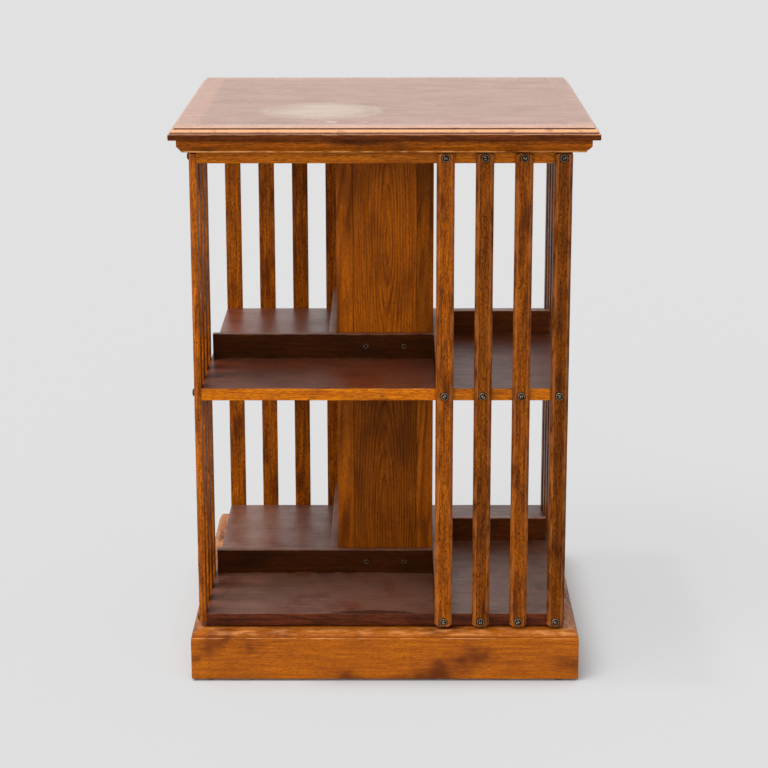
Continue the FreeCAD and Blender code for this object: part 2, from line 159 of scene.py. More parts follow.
def add_node(
    tree: bpy.types.NodeTree,
    kind: Node | str,
    *values: Any,
    named: dict[str, Any] | None = None,
    output: str = "",
    **settings: Any,
) -> bpy.types.NodeSocket | None:
    """Adds a node with its settings, values and links.

    Args:
        tree: the tree that the node goes into.
        kind: one of the usual nodes, or any node's type.
        *values: a value or a socket for each of the first inputs, in order.
        named: a value or a socket for inputs further on, by name.
        output: the name of the output to give back, or nothing for the first.
        **settings: the node's own properties.

    Returns:
        The output socket asked for, or None where the node has none.
    """
    if isinstance(kind, Node):
        kind, usual = kind.value
        settings = usual | settings
    node = tree.nodes.new(kind)
    for name, value in settings.items():
        setattr(node, name, value)
    ends = [s for s in node.inputs if s.enabled]
    pairs = list(zip(ends, values))
    for name, value in (named or {}).items():
        pairs.append((next(s for s in ends if s.name == name), value))
    for end, value in pairs:
        if isinstance(value, bpy.types.NodeSocket):
            tree.links.new(value, end)
        else:
            end.default_value = value
    shown = [s for s in node.outputs if s.enabled and output in ("", s.name)]
    return shown[0] if shown else None


# Finishes


@dataclass(frozen=True)
class Chip:
    """A place where the surface has splintered away along an edge.

    Attributes:
        place: its middle, seen from above, in metres.
        size: half its length and half its depth.
    """

    place: tuple[float, float]
    size: tuple[float, float]


@dataclass(frozen=True)
class Timber:
    """A stained and polished wood.

    Attributes:
        name: the material's name.
        pale: colour of the open early wood.
        deep: colour of the dense streaks.
        line: colour of the ring lines and pores.
        stain: colour of the uneven dark patches in the stain.
        bare: colour where the arrises are rubbed.
        ring_width: distance between ring lines, in millimetres.
        taper: how fast the rings run out of the face along the board.
        figure: how strongly the ring lines show, from 0 to 1.
        wander: how far the grain wanders, in millimetres.
        pores: how strongly the pores show, from 0 to 1.
        pore_size: length and width of a cluster of pores, in millimetres.
        blotch: how strongly the stain is uneven, from 0 to 1.
        blotch_size: length and width of an uneven patch, in millimetres.
        wear: how far the arrises are rubbed, from 0 to 1.
        spread: how much lighter or darker one board is than another.
        dust: how strongly pale specks of dust show, from 0 to 1.
        film: how strongly a film of old dust shows, from 0 to 1.
        chip: where it has splintered, or None.
        roughness: roughness at the gloss and at the dull places.
        specular: strength of the clear reflection.
        polish: weight of the polish coat.
    """

    name: str
    pale: str
    deep: str
    line: str
    stain: str
    bare: str
    ring_width: float = 3.2
    taper: float = 0.09
    figure: float = 0.2
    wander: float = 6.0
    pores: float = 0.6
    pore_size: tuple[float, float] = (8.0, 1.1)
    blotch: float = 0.5
    blotch_size: tuple[float, float] = (75.0, 26.0)
    wear: float = 0.5
    spread: float = 0.3
    dust: float = 0.0
    film: float = 0.0
    chip: Chip | None = None
    roughness: tuple[float, float] = (0.32, 0.46)
    specular: float = 0.22
    polish: float = 0.0


@dataclass(frozen=True)
class Metal:
    """A worked metal.

    Attributes:
        name: the material's name.
        body: colour of the tarnished or cast surface.
        rubbed: colour of the raised, handled edges; on the screw cups and heads it is also a
            painted highlight.
        patch: size of the patches of tarnish, in millimetres.
        roughness: roughness at the rubbed and at the dull places.
        metallic: 1 for clean metal, less under tarnish or scale.
    """

    name: str
    body: str
    rubbed: str
    patch: float
    roughness: tuple[float, float]
    metallic: float = 1.0


SLAT_WOOD = Timber(
    "stained birch, slats", "#b86202", "#743502", "#301303", "#401704", "#bc7038",
    ring_width=4.0, figure=0.15, pores=0.85, pore_size=(4.0, 0.7), blotch=0.7,
    blotch_size=(60.0, 18.0), wear=0.4, spread=0.3, specular=0.1,
)
SHELF_WOOD = Timber(
    "stained birch, middle shelf top", "#aa522e", "#70361e", "#3a1c10", "#34180e", "#b87440",
    ring_width=3.6, figure=0.15, pores=0.5, pore_size=(5.0, 1.1), blotch=0.5,
    blotch_size=(60.0, 40.0), wear=0.6, dust=0.7, film=0.2, roughness=(0.3, 0.38),
    specular=0.32, polish=0.04,
)
DUSTY_WOOD = Timber(
    "stained birch, bottom shelf top", "#925038", "#6c3a2a", "#3a1c10", "#34180e", "#a86c44",
    ring_width=3.6, figure=0.15, pores=0.5, pore_size=(5.0, 1.1), blotch=0.4,
    blotch_size=(60.0, 40.0), wear=0.5, dust=0.7, film=0.45, roughness=(0.3, 0.44),
    specular=0.33, chip=Chip((-14 * MM, -218 * MM), (62 * MM, 12 * MM)),
)
EDGE_WOOD = Timber(
    "stained birch, board edges", "#fc940c", "#d06a03", "#803804", "#7c3806", "#e09c50",
    ring_width=3.4, figure=0.25, pores=0.7, pore_size=(7.0, 0.9), blotch=0.5, wear=0.5,
    specular=0.1,
)
DARK_EDGE_WOOD = Timber(
    "dark stained birch, bottom board edge", "#7a3618", "#562610", "#240e06", "#260e06", "#8c5030",
    ring_width=3.4, figure=0.6, pores=0.5, pore_size=(10.0, 0.9), blotch=0.5, wear=0.4,
)
CORNICE_WOOD = Timber(
    "stained birch, cornice", "#be6002", "#824002", "#381803", "#3a1803", "#cc9254",
    ring_width=3.0, figure=0.3, pores=0.65, pore_size=(6.0, 0.9), blotch=0.7, wear=0.9,
    specular=0.1,
)
COLUMN_WOOD = Timber(
    "stained birch, column boards", "#c46802", "#9a4c02", "#5c2802", "#5c2a02", "#b06a2c",
    ring_width=3.4, taper=0.1, figure=0.95, wander=5.0, pores=0.55, pore_size=(4.0, 0.7),
    blotch=0.5, blotch_size=(90.0, 50.0), wear=0.3, specular=0.08,
)
STOP_WOOD = Timber(
    "dark stained birch, book stops", "#4a1f03", "#321402", "#180a03", "#1a0a03", "#8a5a34",
    ring_width=2.8, figure=0.3, pores=0.4, blotch=0.5, wear=0.6, specular=0.12,
)
PLINTH_WOOD = Timber(
    "stained birch, plinth", "#c26a05", "#9a4d03", "#5c2804", "#602804", "#dc9658",
    ring_width=4.5, figure=0.12, pores=0.5, pore_size=(5.0, 0.8), blotch=0.95,
    blotch_size=(85.0, 55.0), wear=0.6, spread=0.15, specular=0.2,
)
TOP_WOOD = Timber(
    "faded mahogany veneer, top", "#bc876a", "#9c664c", "#684030", "#80523e", "#e8a874",
    ring_width=4.0, figure=0.15, pores=0.8, pore_size=(4.0, 1.0), blotch=0.35,
    blotch_size=(60.0, 40.0), wear=0.9, dust=0.3,
    roughness=(0.32, 0.44), specular=0.8, polish=0.35,
)
TOP_EDGE_WOOD = Timber(
    "mahogany, edge of the top", "#783a0e", "#502206", "#2c1004", "#280e03", "#b07a48",
    ring_width=3.2, figure=0.15, pores=0.5, pore_size=(7.0, 1.1), blotch=0.6, wear=0.6,
    specular=0.1,
)
BARE_WOOD = Timber(
    "bare pine, hidden rails", "#c9a26a", "#b88c54", "#96683a", "#a87c4a", "#d8b888",
    ring_width=4.5, figure=0.5, pores=0.1, blotch=0.2, wear=0.2,
    roughness=(0.6, 0.75),
)
DARK_BRONZE = Metal(
    "tarnished bronze, turned", "#19120c", "#c4aa8a", 1.6, (0.35, 0.6), metallic=0.35,
)
TURNED_STEEL = Metal("turned steel, oiled", "#8c8c8e", "#b4b4b6", 5.0, (0.25, 0.4))
CAST_IRON = Metal("cast iron, blacked", "#26262a", "#55555a", 3.0, (0.5, 0.7), metallic=0.8)
TURNED_BRASS = Metal("turned brass", "#a8803c", "#d2ad62", 6.0, (0.25, 0.42))
DARK_GLIDE = Metal("blued steel, glides", "#1c1a1a", "#4a4644", 3.0, (0.4, 0.6), metallic=0.7)


OLD_DUST = "#8c6c5c"
DUST_SPECK = "#c8bab0"
# Colour of the painted shade, with some dirt, in the inside corners of the top's edge.
SHADE_AND_GRIME = "#3a180c"
DULL_LEVELS = (0.35, 0.65)


@dataclass
class Pattern:
    """The sockets that a wood pattern gives to its shader."""

    colour: bpy.types.NodeSocket
    height: bpy.types.NodeSocket
    dull: bpy.types.NodeSocket
    place: bpy.types.NodeSocket


def new_material(name: str) -> tuple[bpy.types.Material, Adder]:
    """Makes an empty material.

    Args:
        name: the material's name.

    Returns:
        The material, and what adds a node to it.
    """
    material = bpy.data.materials.new(name)
    material.use_nodes = True
    material.node_tree.nodes.clear()
    return material, partial(add_node, material.node_tree)


def drawn_out(
    add: Adder, place: bpy.types.NodeSocket, along: float, across: float,
    detail: float = 2.0, output: str = "",
) -> bpy.types.NodeSocket:
    """Adds a noise whose patches are long in the way of the grain.

    Args:
        add: what adds a node to the material.
        place: the place on the board, in metres, with the grain along X.
        along: length of a patch, in millimetres.
        across: width of a patch, in millimetres.
        detail: how many finer layers it has.
        output: Color for three values, or nothing for one.

    Returns:
        The noise's output.
    """
    size = (1 / (along * MM), 1 / (across * MM), 1 / (across * MM))
    return add(Node.NOISE, add(Node.STRETCHED, place, size), 1.0, detail, 0.6, output=output)


def layered(
    add: Adder, colour: Any, layers: Iterable[tuple[bpy.types.NodeSocket, str]]
) -> bpy.types.NodeSocket:
    """Lays colours over a ground, one after another.

    Args:
        add: what adds a node to the material.
        colour: the ground, as a colour or a socket.
        layers: how much of each layer shows, with its sRGB hex colour.

    Returns:
        The colour on top.
    """
    for share, over in layers:
        colour = add(Node.BLENDED, share, colour, linear(over))
    return colour


def wood_pattern(
    add: Adder, grain: bpy.types.NodeSocket, plank: Any, finish: Timber
) -> Pattern:
    """Draws a wood's rings, streaks, pores and stain.

    A real pore is too fine for the picture, so the pores are drawn as clusters.

    Args:
        add: what adds a node to the material.
        grain: the place on the board, in metres, with the grain along X.
        plank: where in the log the board was cut.
        finish: the wood.

    Returns:
        The pattern's colour, height and dullness, and its place in the log.
    """
    place = add(Node.MOVED, grain, plank)
    # The grain wanders a little over a hand's width.
    drift = add(Node.MOVED_BACK, drawn_out(add, place, 170, 45, 1.0, "Color"), (0.5, 0.5, 0.5))
    reach = 2 * finish.wander * MM
    bent = add(Node.MOVED, place, add(Node.STRETCHED, drift, (0.0, reach, reach)))
    # Rings round a heart that leans out of the board, which gives arches on a flat face.
    along = add(Node.APART, grain, output="X")
    across = add(Node.APART, bent, output="Y")
    through = add(Node.APART, bent, output="Z")
    heart = add(Node.PLUS, through, add(Node.TIMES, along, finish.taper))
    squares = add(Node.PLUS, add(Node.TIMES, across, across), add(Node.TIMES, heart, heart))
    phase = add(Node.TIMES, add(Node.POWER, squares, 0.5), 1 / (finish.ring_width * MM))
    ring = add(Node.FRACTION, phase)
    ring = add(Node.TIMES, add(Node.STEPPED, ring, 0.3, 0.85), add(Node.STEPPED, ring, 1.0, 0.85))
    broken = add(Node.STEPPED, drawn_out(add, bent, 60, 7), 0.35, 0.65, 0.25, 1.0)
    ring = add(Node.TIMES, ring, broken)
    streak = drawn_out(add, bent, 70, 2.6, 3.0)
    fibre = drawn_out(add, bent, 18, 0.9)
    pore = add(Node.STEPPED, drawn_out(add, bent, *finish.pore_size), 0.45, 0.66)
    cloud = drawn_out(add, place, *finish.blotch_size, 3.0)
    film = drawn_out(add, place, 40, 70, 3.0)
    speck = drawn_out(add, place, 2.6, 2.2, 1.0)
    colour = layered(add, linear(finish.pale), [
        (add(Node.STEPPED, streak, 0.3, 0.7), finish.deep),
        (add(Node.TIMES, ring, finish.figure), finish.line),
        (add(Node.STEPPED, fibre, 0.3, 0.7, 0.0, 0.5), finish.deep),
        (add(Node.TIMES, pore, finish.pores), finish.line),
        (add(Node.STEPPED, cloud, 0.46, 0.7, 0.0, finish.blotch), finish.stain),
        (add(Node.STEPPED, film, 0.3, 0.62, 0.0, finish.film), OLD_DUST),
        (add(Node.STEPPED, speck, 0.7, 0.78, 0.0, finish.dust), DUST_SPECK),
    ])
    height = add(Node.MINUS, add(Node.TIMES, fibre, 0.5), pore)
    dull = add(Node.PLUS, add(Node.TIMES, streak, 0.5), add(Node.TIMES, cloud, 0.5))
    return Pattern(colour, height, dull, place)


def wood_shader(
    add: Adder,
    pattern: Pattern,
    finish: Timber,
    colour: bpy.types.NodeSocket,
    haze: bpy.types.NodeSocket | None = None,
) -> None:
    """Adds a polished wood's shader and output.

    Args:
        add: what adds a node to the material.
        pattern: the wood's pattern, for its height and dullness.
        finish: the wood.
        colour: the final colour.
        haze: where the polish is hazed, or None.
    """
    roughness = add(Node.STEPPED, pattern.dull, *DULL_LEVELS, *finish.roughness)
    if haze is not None:
        roughness = add(Node.PLUS, roughness, add(Node.TIMES, haze, 0.12))
    relief = {"Height": pattern.height, "Strength": 0.35, "Distance": 0.25 * MM}
    shader = add("ShaderNodeBsdfPrincipled", colour, named={
        "Roughness": roughness,
        "IOR": 1.5,
        "Specular IOR Level": finish.specular,
        "Coat Weight": finish.polish,
        "Coat Roughness": 0.28,
        "Normal": add("ShaderNodeBump", named=relief),
    })
    add("ShaderNodeOutputMaterial", shader)


def board_timber(finish: Timber) -> bpy.types.Material:
    """Makes the material of boards that hold their own grain, plank, tone and rim.

    Stained birch under old shellac: an amber ground with fine dark pores, soft dark patches
    where the stain took unevenly, arrises rubbed back to paler wood, and inside corners painted
    dark with the line colour as painted shade, with some dirt. The polish is thin, so it shines
    only softly.

    Args:
        finish: the wood.

    Returns:
        The material.
    """
    material, add = new_material(finish.name)
    grain, plank = (add(Node.HELD, attribute_name=a, output="Vector") for a in ("grain", "plank"))
    tone, rim = (add(Node.HELD, attribute_name=a, output="Fac") for a in ("tone", "rim"))
    pattern = wood_pattern(add, grain, plank, finish)
    gain = add(Node.PLUS, add(Node.TIMES, tone, finish.spread), 1.0)
    rubbed = add(Node.TIMES, rim, drawn_out(add, pattern.place, 22, 6))
    layers = [
        (add(Node.STEPPED, rubbed, 0.3, 0.6, 0.0, finish.wear), finish.bare),
        # Where rim is below 0, in inside corners, the line colour is laid on: painted shade, with
        # some dirt.
        (add(Node.STEPPED, rim, -0.05, -0.9, 0.0, 0.85), finish.line),
    ]
    if finish.chip:
        at = TopPlaces.read(add)
        away = at.away_from(add, finish.chip.place, finish.chip.size)
        away = add(Node.PLUS, away, drawn_out(add, at.place, 16, 7, 3.0))
        layers.append((add(Node.STEPPED, away, 1.25, 1.1, 0.0, 0.8), finish.line))
    colour = layered(add, add(Node.BRIGHTENED, pattern.colour, gain), layers)
    wood_shader(add, pattern, finish, colour)
    return material


def hidden_timber(finish: Timber, along: Axis) -> bpy.types.Material:
    """Makes the material of the unpolished wood inside the plinth.

    Bare pine: pale, dry and matt, with plain rings along the piece.

    Args:
        finish: the wood.
        along: the way that the grain runs.

    Returns:
        The material.
    """
    material, add = new_material(f"{finish.name}, grain along {along.name}")
    turn = {Axis.X: (0, 0, 0), Axis.Y: (0, 0, -math.pi / 2), Axis.Z: (0, math.pi / 2, 0)}[along]
    place = add(Node.PLACE, output="Object")
    grain = add("ShaderNodeMapping", named={"Vector": place, "Rotation": turn})
    pattern = wood_pattern(add, grain, (0.3, 0.01, 0.04), finish)
    wood_shader(add, pattern, finish, pattern.colour)
    return material


def metal(finish: Metal) -> bpy.types.Material:
    """Makes a worked metal: uneven tarnish, with rubbed metal and a painted highlight on raised
    edges.

    Args:
        finish: the metal.

    Returns:
        The material.
    """
    material, add = new_material(finish.name)
    place = add(Node.PLACE, output="Object")
    cloud = drawn_out(add, place, finish.patch, finish.patch, 3.0)
    grit = drawn_out(add, place, finish.patch / 6, finish.patch / 6, 1.0)
    rim = add(Node.HELD, attribute_name="rim", output="Fac")
    # Where rim is high the rubbed colour is laid on: worn metal, and on the cups and screw heads a
    # painted highlight.
    bright = add(Node.TIMES, rim, add(Node.STEPPED, cloud, 0.3, 0.65, 0.5, 1.0))
    bright = add(Node.PLUS, bright, add(Node.STEPPED, cloud, 0.5, 0.75, 0.0, 0.25))
    bright = add(Node.STEPPED, bright, 0.1, 0.9)
    colour = layered(add, linear(finish.body), [(bright, finish.rubbed)])
    gloss, dull = finish.roughness
    relief = {"Height": grit, "Strength": 0.3, "Distance": 0.08 * MM}
    shader = add("ShaderNodeBsdfPrincipled", colour, named={
        "Roughness": add(Node.STEPPED, bright, 0.0, 1.0, dull, gloss),
        "Metallic": finish.metallic,
        "Normal": add("ShaderNodeBump", named=relief),
    })
    add("ShaderNodeOutputMaterial", shader)
    return material


@dataclass(frozen=True)
class TopMarks:
    """What time has left on the top, in metres from the middle of the board.

    Attributes:
        band: width of the crossbanded border.
        band_pale: colour that the border has faded to.
        haze_place: centre of the round heat mark.
        haze_radius: radius of the round heat mark.
        haze: colour of the heat mark.
        scuff_place: centre of the small scuff near the front edge.
        scuff_size: length and width of the scuff.
        scuff: colour of the scuffs and scratches.
    """

    band: float = 28 * MM
    band_pale: str = "#cf9674"
    haze_place: tuple[float, float] = (-76 * MM, -99 * MM)
    haze_radius: float = 71 * MM
    haze: str = "#c9bba7"
    scuff_place: tuple[float, float] = (-62 * MM, -197 * MM)
    scuff_size: tuple[float, float] = (9 * MM, 5 * MM)
    scuff: str = "#ecccba"


@dataclass
class TopPlaces:
    """The places seen from above that a pattern is drawn from, as sockets.

    Attributes:
        place: the place in the frame.
        x: how far to the right.
        y: how far to the back.
        z: how high.
        reach_x: how far from the middle to either side.
        reach_y: how far from the middle to the front or back.
        reach: the larger of the two.
    """

    place: bpy.types.NodeSocket
    x: bpy.types.NodeSocket
    y: bpy.types.NodeSocket
    z: bpy.types.NodeSocket
    reach_x: bpy.types.NodeSocket
    reach_y: bpy.types.NodeSocket
    reach: bpy.types.NodeSocket

    @classmethod
    def read(cls, add: Adder) -> "TopPlaces":
        """Adds the nodes that read a place.

        Args:
            add: what adds a node to the material.

        Returns:
            The places, as sockets.
        """
        place = add(Node.PLACE, output="Object")
        x, y, z = (add(Node.APART, place, output=a) for a in "XYZ")
        reach_x, reach_y = add(Node.SIZE, x), add(Node.SIZE, y)
        return cls(place, x, y, z, reach_x, reach_y, add(Node.LARGER, reach_x, reach_y))

    def away_from(
        self, add: Adder, centre: tuple[float, float], size: tuple[float, float]
    ) -> bpy.types.NodeSocket:
        """Measures how far a place is from a centre, as a share of a size.

        Args:
            add: what adds a node to the material.
            centre: the centre, in metres.
            size: the half length and half width that count as 1, in metres.

        Returns:
            The distance, squared.
        """
        parts = []
        for value, middle, half in zip((self.x, self.y), centre, size):
            part = add(Node.TIMES, add(Node.MINUS, value, middle), 1 / half)
            parts.append(add(Node.TIMES, part, part))
        return add(Node.PLUS, *parts)


def heat_mark(add: Adder, at: TopPlaces, marks: TopMarks) -> bpy.types.NodeSocket:
    """Draws the round heat mark: a ragged pale cloud with a faint rim.

    Args:
        add: what adds a node to the material.
        at: the places on the top.
        marks: what time has left on it.

    Returns:
        How strongly the mark shows.
    """
    away = at.away_from(add, marks.haze_place, (marks.haze_radius, marks.haze_radius))
    ragged = add(Node.TIMES, add(Node.MINUS, drawn_out(add, at.place, 30, 12, 3.0), 0.5), 0.45)
    away = add(Node.PLUS, add(Node.POWER, away, 0.5), ragged)
    faint = add(Node.STEPPED, away, 1.07, 0.93, 0.0, 0.27)
    cloud = add(Node.STEPPED, away, 0.95, 0.55, 0.0, 0.42)
    rim = add(
        Node.TIMES, add(Node.STEPPED, away, 0.9, 1.0), add(Node.STEPPED, away, 1.1, 1.0, 0.0, 0.22))
    streaks = add(Node.STEPPED, drawn_out(add, at.place, 70, 9, 3.0), 0.3, 0.62, 0.6, 1.0)
    body = add(Node.TIMES, add(Node.PLUS, faint, cloud), streaks)
    return add(Node.PLUS, body, rim)


def scratches(add: Adder, at: TopPlaces, marks: TopMarks) -> bpy.types.NodeSocket:
    """Draws the scuff near the front edge and fine scratches all over.

    Args:
        add: what adds a node to the material.
        at: the places on the top.
        marks: what time has left on it.

    Returns:
        How strongly they show.
    """
    away = at.away_from(add, marks.scuff_place, marks.scuff_size)
    away = add(Node.PLUS, away, drawn_out(add, at.place, 4, 3))
    scuff = add(Node.STEPPED, away, 1.3, 0.7, 0.0, 0.8)
    # A scratch is where a smooth noise crosses its middle, kept only here and there.
    line = add(Node.SIZE, add(Node.MINUS, drawn_out(add, at.place, 130, 60, 0.0), 0.5))
    kept = add(Node.STEPPED, drawn_out(add, at.place, 22, 16), 0.5, 0.64)
    scratch = add(Node.TIMES, add(Node.STEPPED, line, 0.004, 0.001, 0.0, 0.5), kept)
    return add(Node.LARGER, scuff, scratch)


def faded_top(finish: Timber, marks: TopMarks, half_field: float) -> bpy.types.Material:
    """Makes the material of the top board.

    Mahogany veneer, faded by light: a dull pinkish brown field with its grain from side to
    side, a warmer crossbanded border whose grain runs in from each edge, a pale round heat
    mark and fine scratches. The bead round the field is rubbed bright, and at the front it also
    carries a painted highlight; the inside corners of the edge carry painted shade, with some dirt.

    Args:
        finish: the wood.
        marks: what time has left on it.
        half_field: half the width of the flat field.

    Returns:
        The material.
    """
    material, add = new_material(finish.name)
    at = TopPlaces.read(add)
    # In the border the grain runs in from the nearest edge; elsewhere it runs along X.
    inner = half_field - marks.band
    on_field = add(Node.BELOW, at.reach, half_field)
    border = add(Node.TIMES, add(Node.ABOVE, at.reach, inner), on_field)
    nearer_front = add(Node.ABOVE, at.reach_y, at.reach_x)
    nearer_side = add(Node.MINUS, 1.0, nearer_front)
    bead = add(Node.TIMES, nearer_side, add(Node.MINUS, 1.0, on_field))
    along_y = add(Node.LARGER, add(Node.TIMES, nearer_front, border), bead)
    grain = add(Node.BLENDED, along_y, at.place, add(Node.JOINED, at.y, at.x, at.z))
    pattern = wood_pattern(add, grain, (0.4, 0.03, -0.64), finish)
    # The border has faded most towards the left and the front.
    past = add(Node.MINUS, at.reach, inner)
    leftward = add(Node.STEPPED, at.x, 0.2, -0.22, 0.05, 0.34)
    outward = add(Node.STEPPED, past, -1 * MM, 8 * MM, 0.4, 1.0)
    forward = add(Node.STEPPED, at.y, -0.18, -0.235, 0.0, 0.8)
    fade = add(Node.LARGER, add(Node.TIMES, leftward, outward), forward)
    uneven = add(Node.STEPPED, drawn_out(add, at.place, 20, 14, 3.0), 0.35, 0.65, 0.55, 1.1)
    fade = add(Node.TIMES, add(Node.TIMES, fade, uneven), border)
    joint = add(
        Node.TIMES, add(Node.STEPPED, past, -0.7 * MM, 0.1 * MM),
        add(Node.STEPPED, past, 0.9 * MM, 0.1 * MM, 0.0, 0.2))
    haze = heat_mark(add, at, marks)
    rim = add(Node.HELD, attribute_name="rim", output="Fac")
    rubbed = add(Node.TIMES, rim, drawn_out(add, at.place, 16, 16, 4.0))
    rubbed = add(Node.STEPPED, rubbed, 0.2, 0.48, 0.0, finish.wear)
    # The front bead is painted palest: rubbed wood, and a painted highlight of the light from the
    # front.
    front = add(Node.STEPPED, at.y, 1 * MM - half_field, -half_field, 0.3, 1.0)
    colour = layered(add, pattern.colour, [
        (fade, marks.band_pale),
        (joint, finish.line),
        (haze, marks.haze),
        (scratches(add, at, marks), marks.scuff),
        (add(Node.TIMES, rubbed, front), finish.bare),
        # Inside corners, where rim is below 0, get painted shade, with some dirt.
        (add(Node.STEPPED, rim, -0.1, -0.8, 0.0, 0.8), SHADE_AND_GRIME),
    ])
    wood_shader(add, pattern, finish, colour, haze)
    return material


# Shapes


@dataclass(frozen=True)
class Corner:
    """A corner of a section.

    Attributes:
        x: place across the section.
        y: place up the section.
        radius: how far it is rounded.
        worn: how far hands have rubbed it, from 0 to 1, or below 0 for painted shade, with some
            dirt, in an inside corner.
    """

    x: float
    y: float
    radius: float = 0.0
    worn: float = 0.0


@dataclass(frozen=True)
class Mark:
    """A point of an outline, with the way that it faces and how worn it is, or below 0 how much
    painted shade it has.
    """

    place: Vector
    facing: Vector
    worn: float


# How finely arrises are rounded, and how far they ease into the flats beside them.
ARC_STEP = math.radians(32)
EASE = 2.4 * MM
# From which angle an edge is shaded sharp.
SHARP_ANGLE = math.radians(50)
# How deep wear dents an arris, and how long a dent is.
WEAR_DEPTH = 0.35 * MM
WEAR_LENGTH = 28 * MM
# How far a board's end is rounded, as a share of its arrises, and how small its last ring is.
END_EASING = 0.5625
END_SHRINK = 0.72
# How far behind its face a flat-cut board has the heart of its log, and how far that strays.
HEART_DEPTH = 13 * MM
HEART_STRAY = 12 * MM
HEART_SWAY = 10 * MM


def rounded(
    corners: Sequence[Corner], growth: Sequence[float] = (), closed: bool = True
) -> list[Mark]:
    """Rounds the corners of a section that runs counter-clockwise.

    Args:
        corners: the section's corners.
        growth: what each corner's radius is multiplied by, or nothing.
        closed: whether the last corner joins the first.

    Returns:
        The outline's points, the same number for any growth.
    """
    marks = []
    count = len(corners)
    for number, corner in enumerate(corners):
        here = Vector((corner.x, corner.y))
        before = corners[number - 1]
        after = corners[(number + 1) % count]
        back = Vector((before.x, before.y)) - here
        ahead = Vector((after.x, after.y)) - here
        if not closed and number in (0, count - 1):
            edge = ahead if number == 0 else -back
            marks.append(Mark(here, Vector((edge.y, -edge.x)).normalized(), corner.worn))
            continue
        back_room, ahead_room = back.length, ahead.length
        back.normalize()
        ahead.normalize()
        from_face = Vector((-back.y, back.x))
        to_face = Vector((ahead.y, -ahead.x))
        turn = from_face.angle_signed(to_face)
        mean = (from_face + to_face).normalized()
        if corner.radius <= 0:
            marks.append(Mark(here, mean, corner.worn))
            continue
        plain = corner.radius * math.tan(abs(turn) / 2)
        radius = corner.radius * (growth[number] if growth else 1.0)
        cut = radius * math.tan(abs(turn) / 2)
        centre = here - mean * (radius / math.cos(turn / 2))
        assert cut < back_room and cut < ahead_room
        easing = corner.worn > 0
        if easing and back_room > 2.2 * (plain + EASE):
            marks.append(Mark(here + back * (1.6 * plain + EASE), from_face, 0.0))
        steps = max(1, math.ceil(abs(turn) / ARC_STEP))
        for step in range(steps + 1):
            share = step / steps
            facing = from_face.copy()
            facing.rotate(Matrix.Rotation(-turn * share, 2))
            marks.append(Mark(centre + facing * radius, facing, corner.worn))
        if easing and ahead_room > 2.2 * (plain + EASE):
            marks.append(Mark(here + ahead * (1.6 * plain + EASE), to_face, 0.0))
    return marks


@dataclass
class Shell:
    """The points and faces of a mesh that is being made.

    Attributes:
        places: where each point is, in the frame.
        grain: where each point is in its board, with the grain along X.
        rim: how worn each point is, or below 0 how much painted shade, with some dirt, it has.
        faces: the points of each face.
    """

    places: list[Vector] = field(default_factory=list)
    grain: list[Vector] = field(default_factory=list)
    rim: list[float] = field(default_factory=list)
    faces: list[tuple[int, ...]] = field(default_factory=list)

    def add_point(self, place: Vector, grain: Vector, rim: float) -> int:
        """Adds a point.

        Args:
            place: where it is, in the frame.
            grain: where it is in its board.
            rim: how worn it is, or below 0 how much painted shade, with some dirt, it has.

        Returns:
            Its number.
        """
        self.places.append(place)
        self.grain.append(grain)
        self.rim.append(rim)
        return len(self.places) - 1

    def join_rings(self, rings: Sequence[Sequence[int]], closed: bool = False) -> None:
        """Joins rings of as many points by four-sided faces.

        Args:
            rings: the points of each ring, in order round it.
            closed: whether the last ring joins the first. If not, a face covers each.
        """
        nexts = [*rings[1:], rings[0]] if closed else rings[1:]
        for first, second in zip(rings, nexts):
            for number, point in enumerate(first):
                after = (number + 1) % len(first)
                self.faces.append((point, first[after], second[after], second[number]))
        if not closed:
            self.faces += [tuple(rings[0]), tuple(rings[-1])]


def ovolo(x: float, y: float, run: float, rise: float, worn: float) -> list[Corner]:
    """Draws the corners of a quarter round, from its nose up to its crown.

    Args:
        x: place of its centre across the section.
        y: place of its centre up the section.
        run: how far it reaches out.
        rise: how far it rises.
        worn: how rubbed it is.

    Returns:
        The corners between the nose and the crown.
    """
    angles = (math.radians(degrees) for degrees in (15, 30, 45, 60, 75))
    return [Corner(x + run * math.cos(a), y + rise * math.sin(a), worn=worn) for a in angles]


def made_object(shell: Shell, name: str, plank: Vector | None, tone: float) -> bpy.types.Object:
    """Makes a shell an object with its faces outwards and its attributes named.

    Args:
        shell: the points and faces.
        name: the object's name.
        plank: how far the board's pattern is shifted, or None for a blank of many.
        tone: how pale the board is, from -1 to 1.

    Returns:
        The object, linked to the scene.
    """
    mesh = bpy.data.meshes.new(name)
    mesh.from_pydata([tuple(p) for p in shell.places], [], shell.faces)
    sculpt = bmesh.new()
    sculpt.from_mesh(mesh)
    bmesh.ops.recalc_face_normals(sculpt, faces=sculpt.faces)
    sculpt.to_mesh(mesh)
    sculpt.free()
    vectors = {"grain": [c for g in shell.grain for c in g]}
    values = {"rim": shell.rim}
    if plank is not None:
        vectors["plank"] = list(plank) * len(shell.places)
        values["tone"] = [tone] * len(shell.places)
    for key, numbers in vectors.items():
        mesh.attributes.new(key, "FLOAT_VECTOR", "POINT").data.foreach_set("vector", numbers)
    for key, numbers in values.items():
        mesh.attributes.new(key, "FLOAT", "POINT").data.foreach_set("value", numbers)
    mesh.shade_smooth()
    mesh.set_sharp_from_angle(angle=SHARP_ANGLE)
    obj = bpy.data.objects.new(name, mesh)
    bpy.context.scene.collection.objects.link(obj)
    return obj


def settle(obj: bpy.types.Object) -> None:
    """Turns an object's modifiers into its plain mesh.

    Args:
        obj: the object, which keeps its name and loses its modifiers.
    """
    depsgraph = bpy.context.evaluated_depsgraph_get()
    depsgraph.update()
    plain = bpy.data.meshes.new_from_object(
        obj.evaluated_get(depsgraph), preserve_all_data_layers=True, depsgraph=depsgraph)
    obj.modifiers.clear()
    obj.data = plain
    plain.name = obj.name


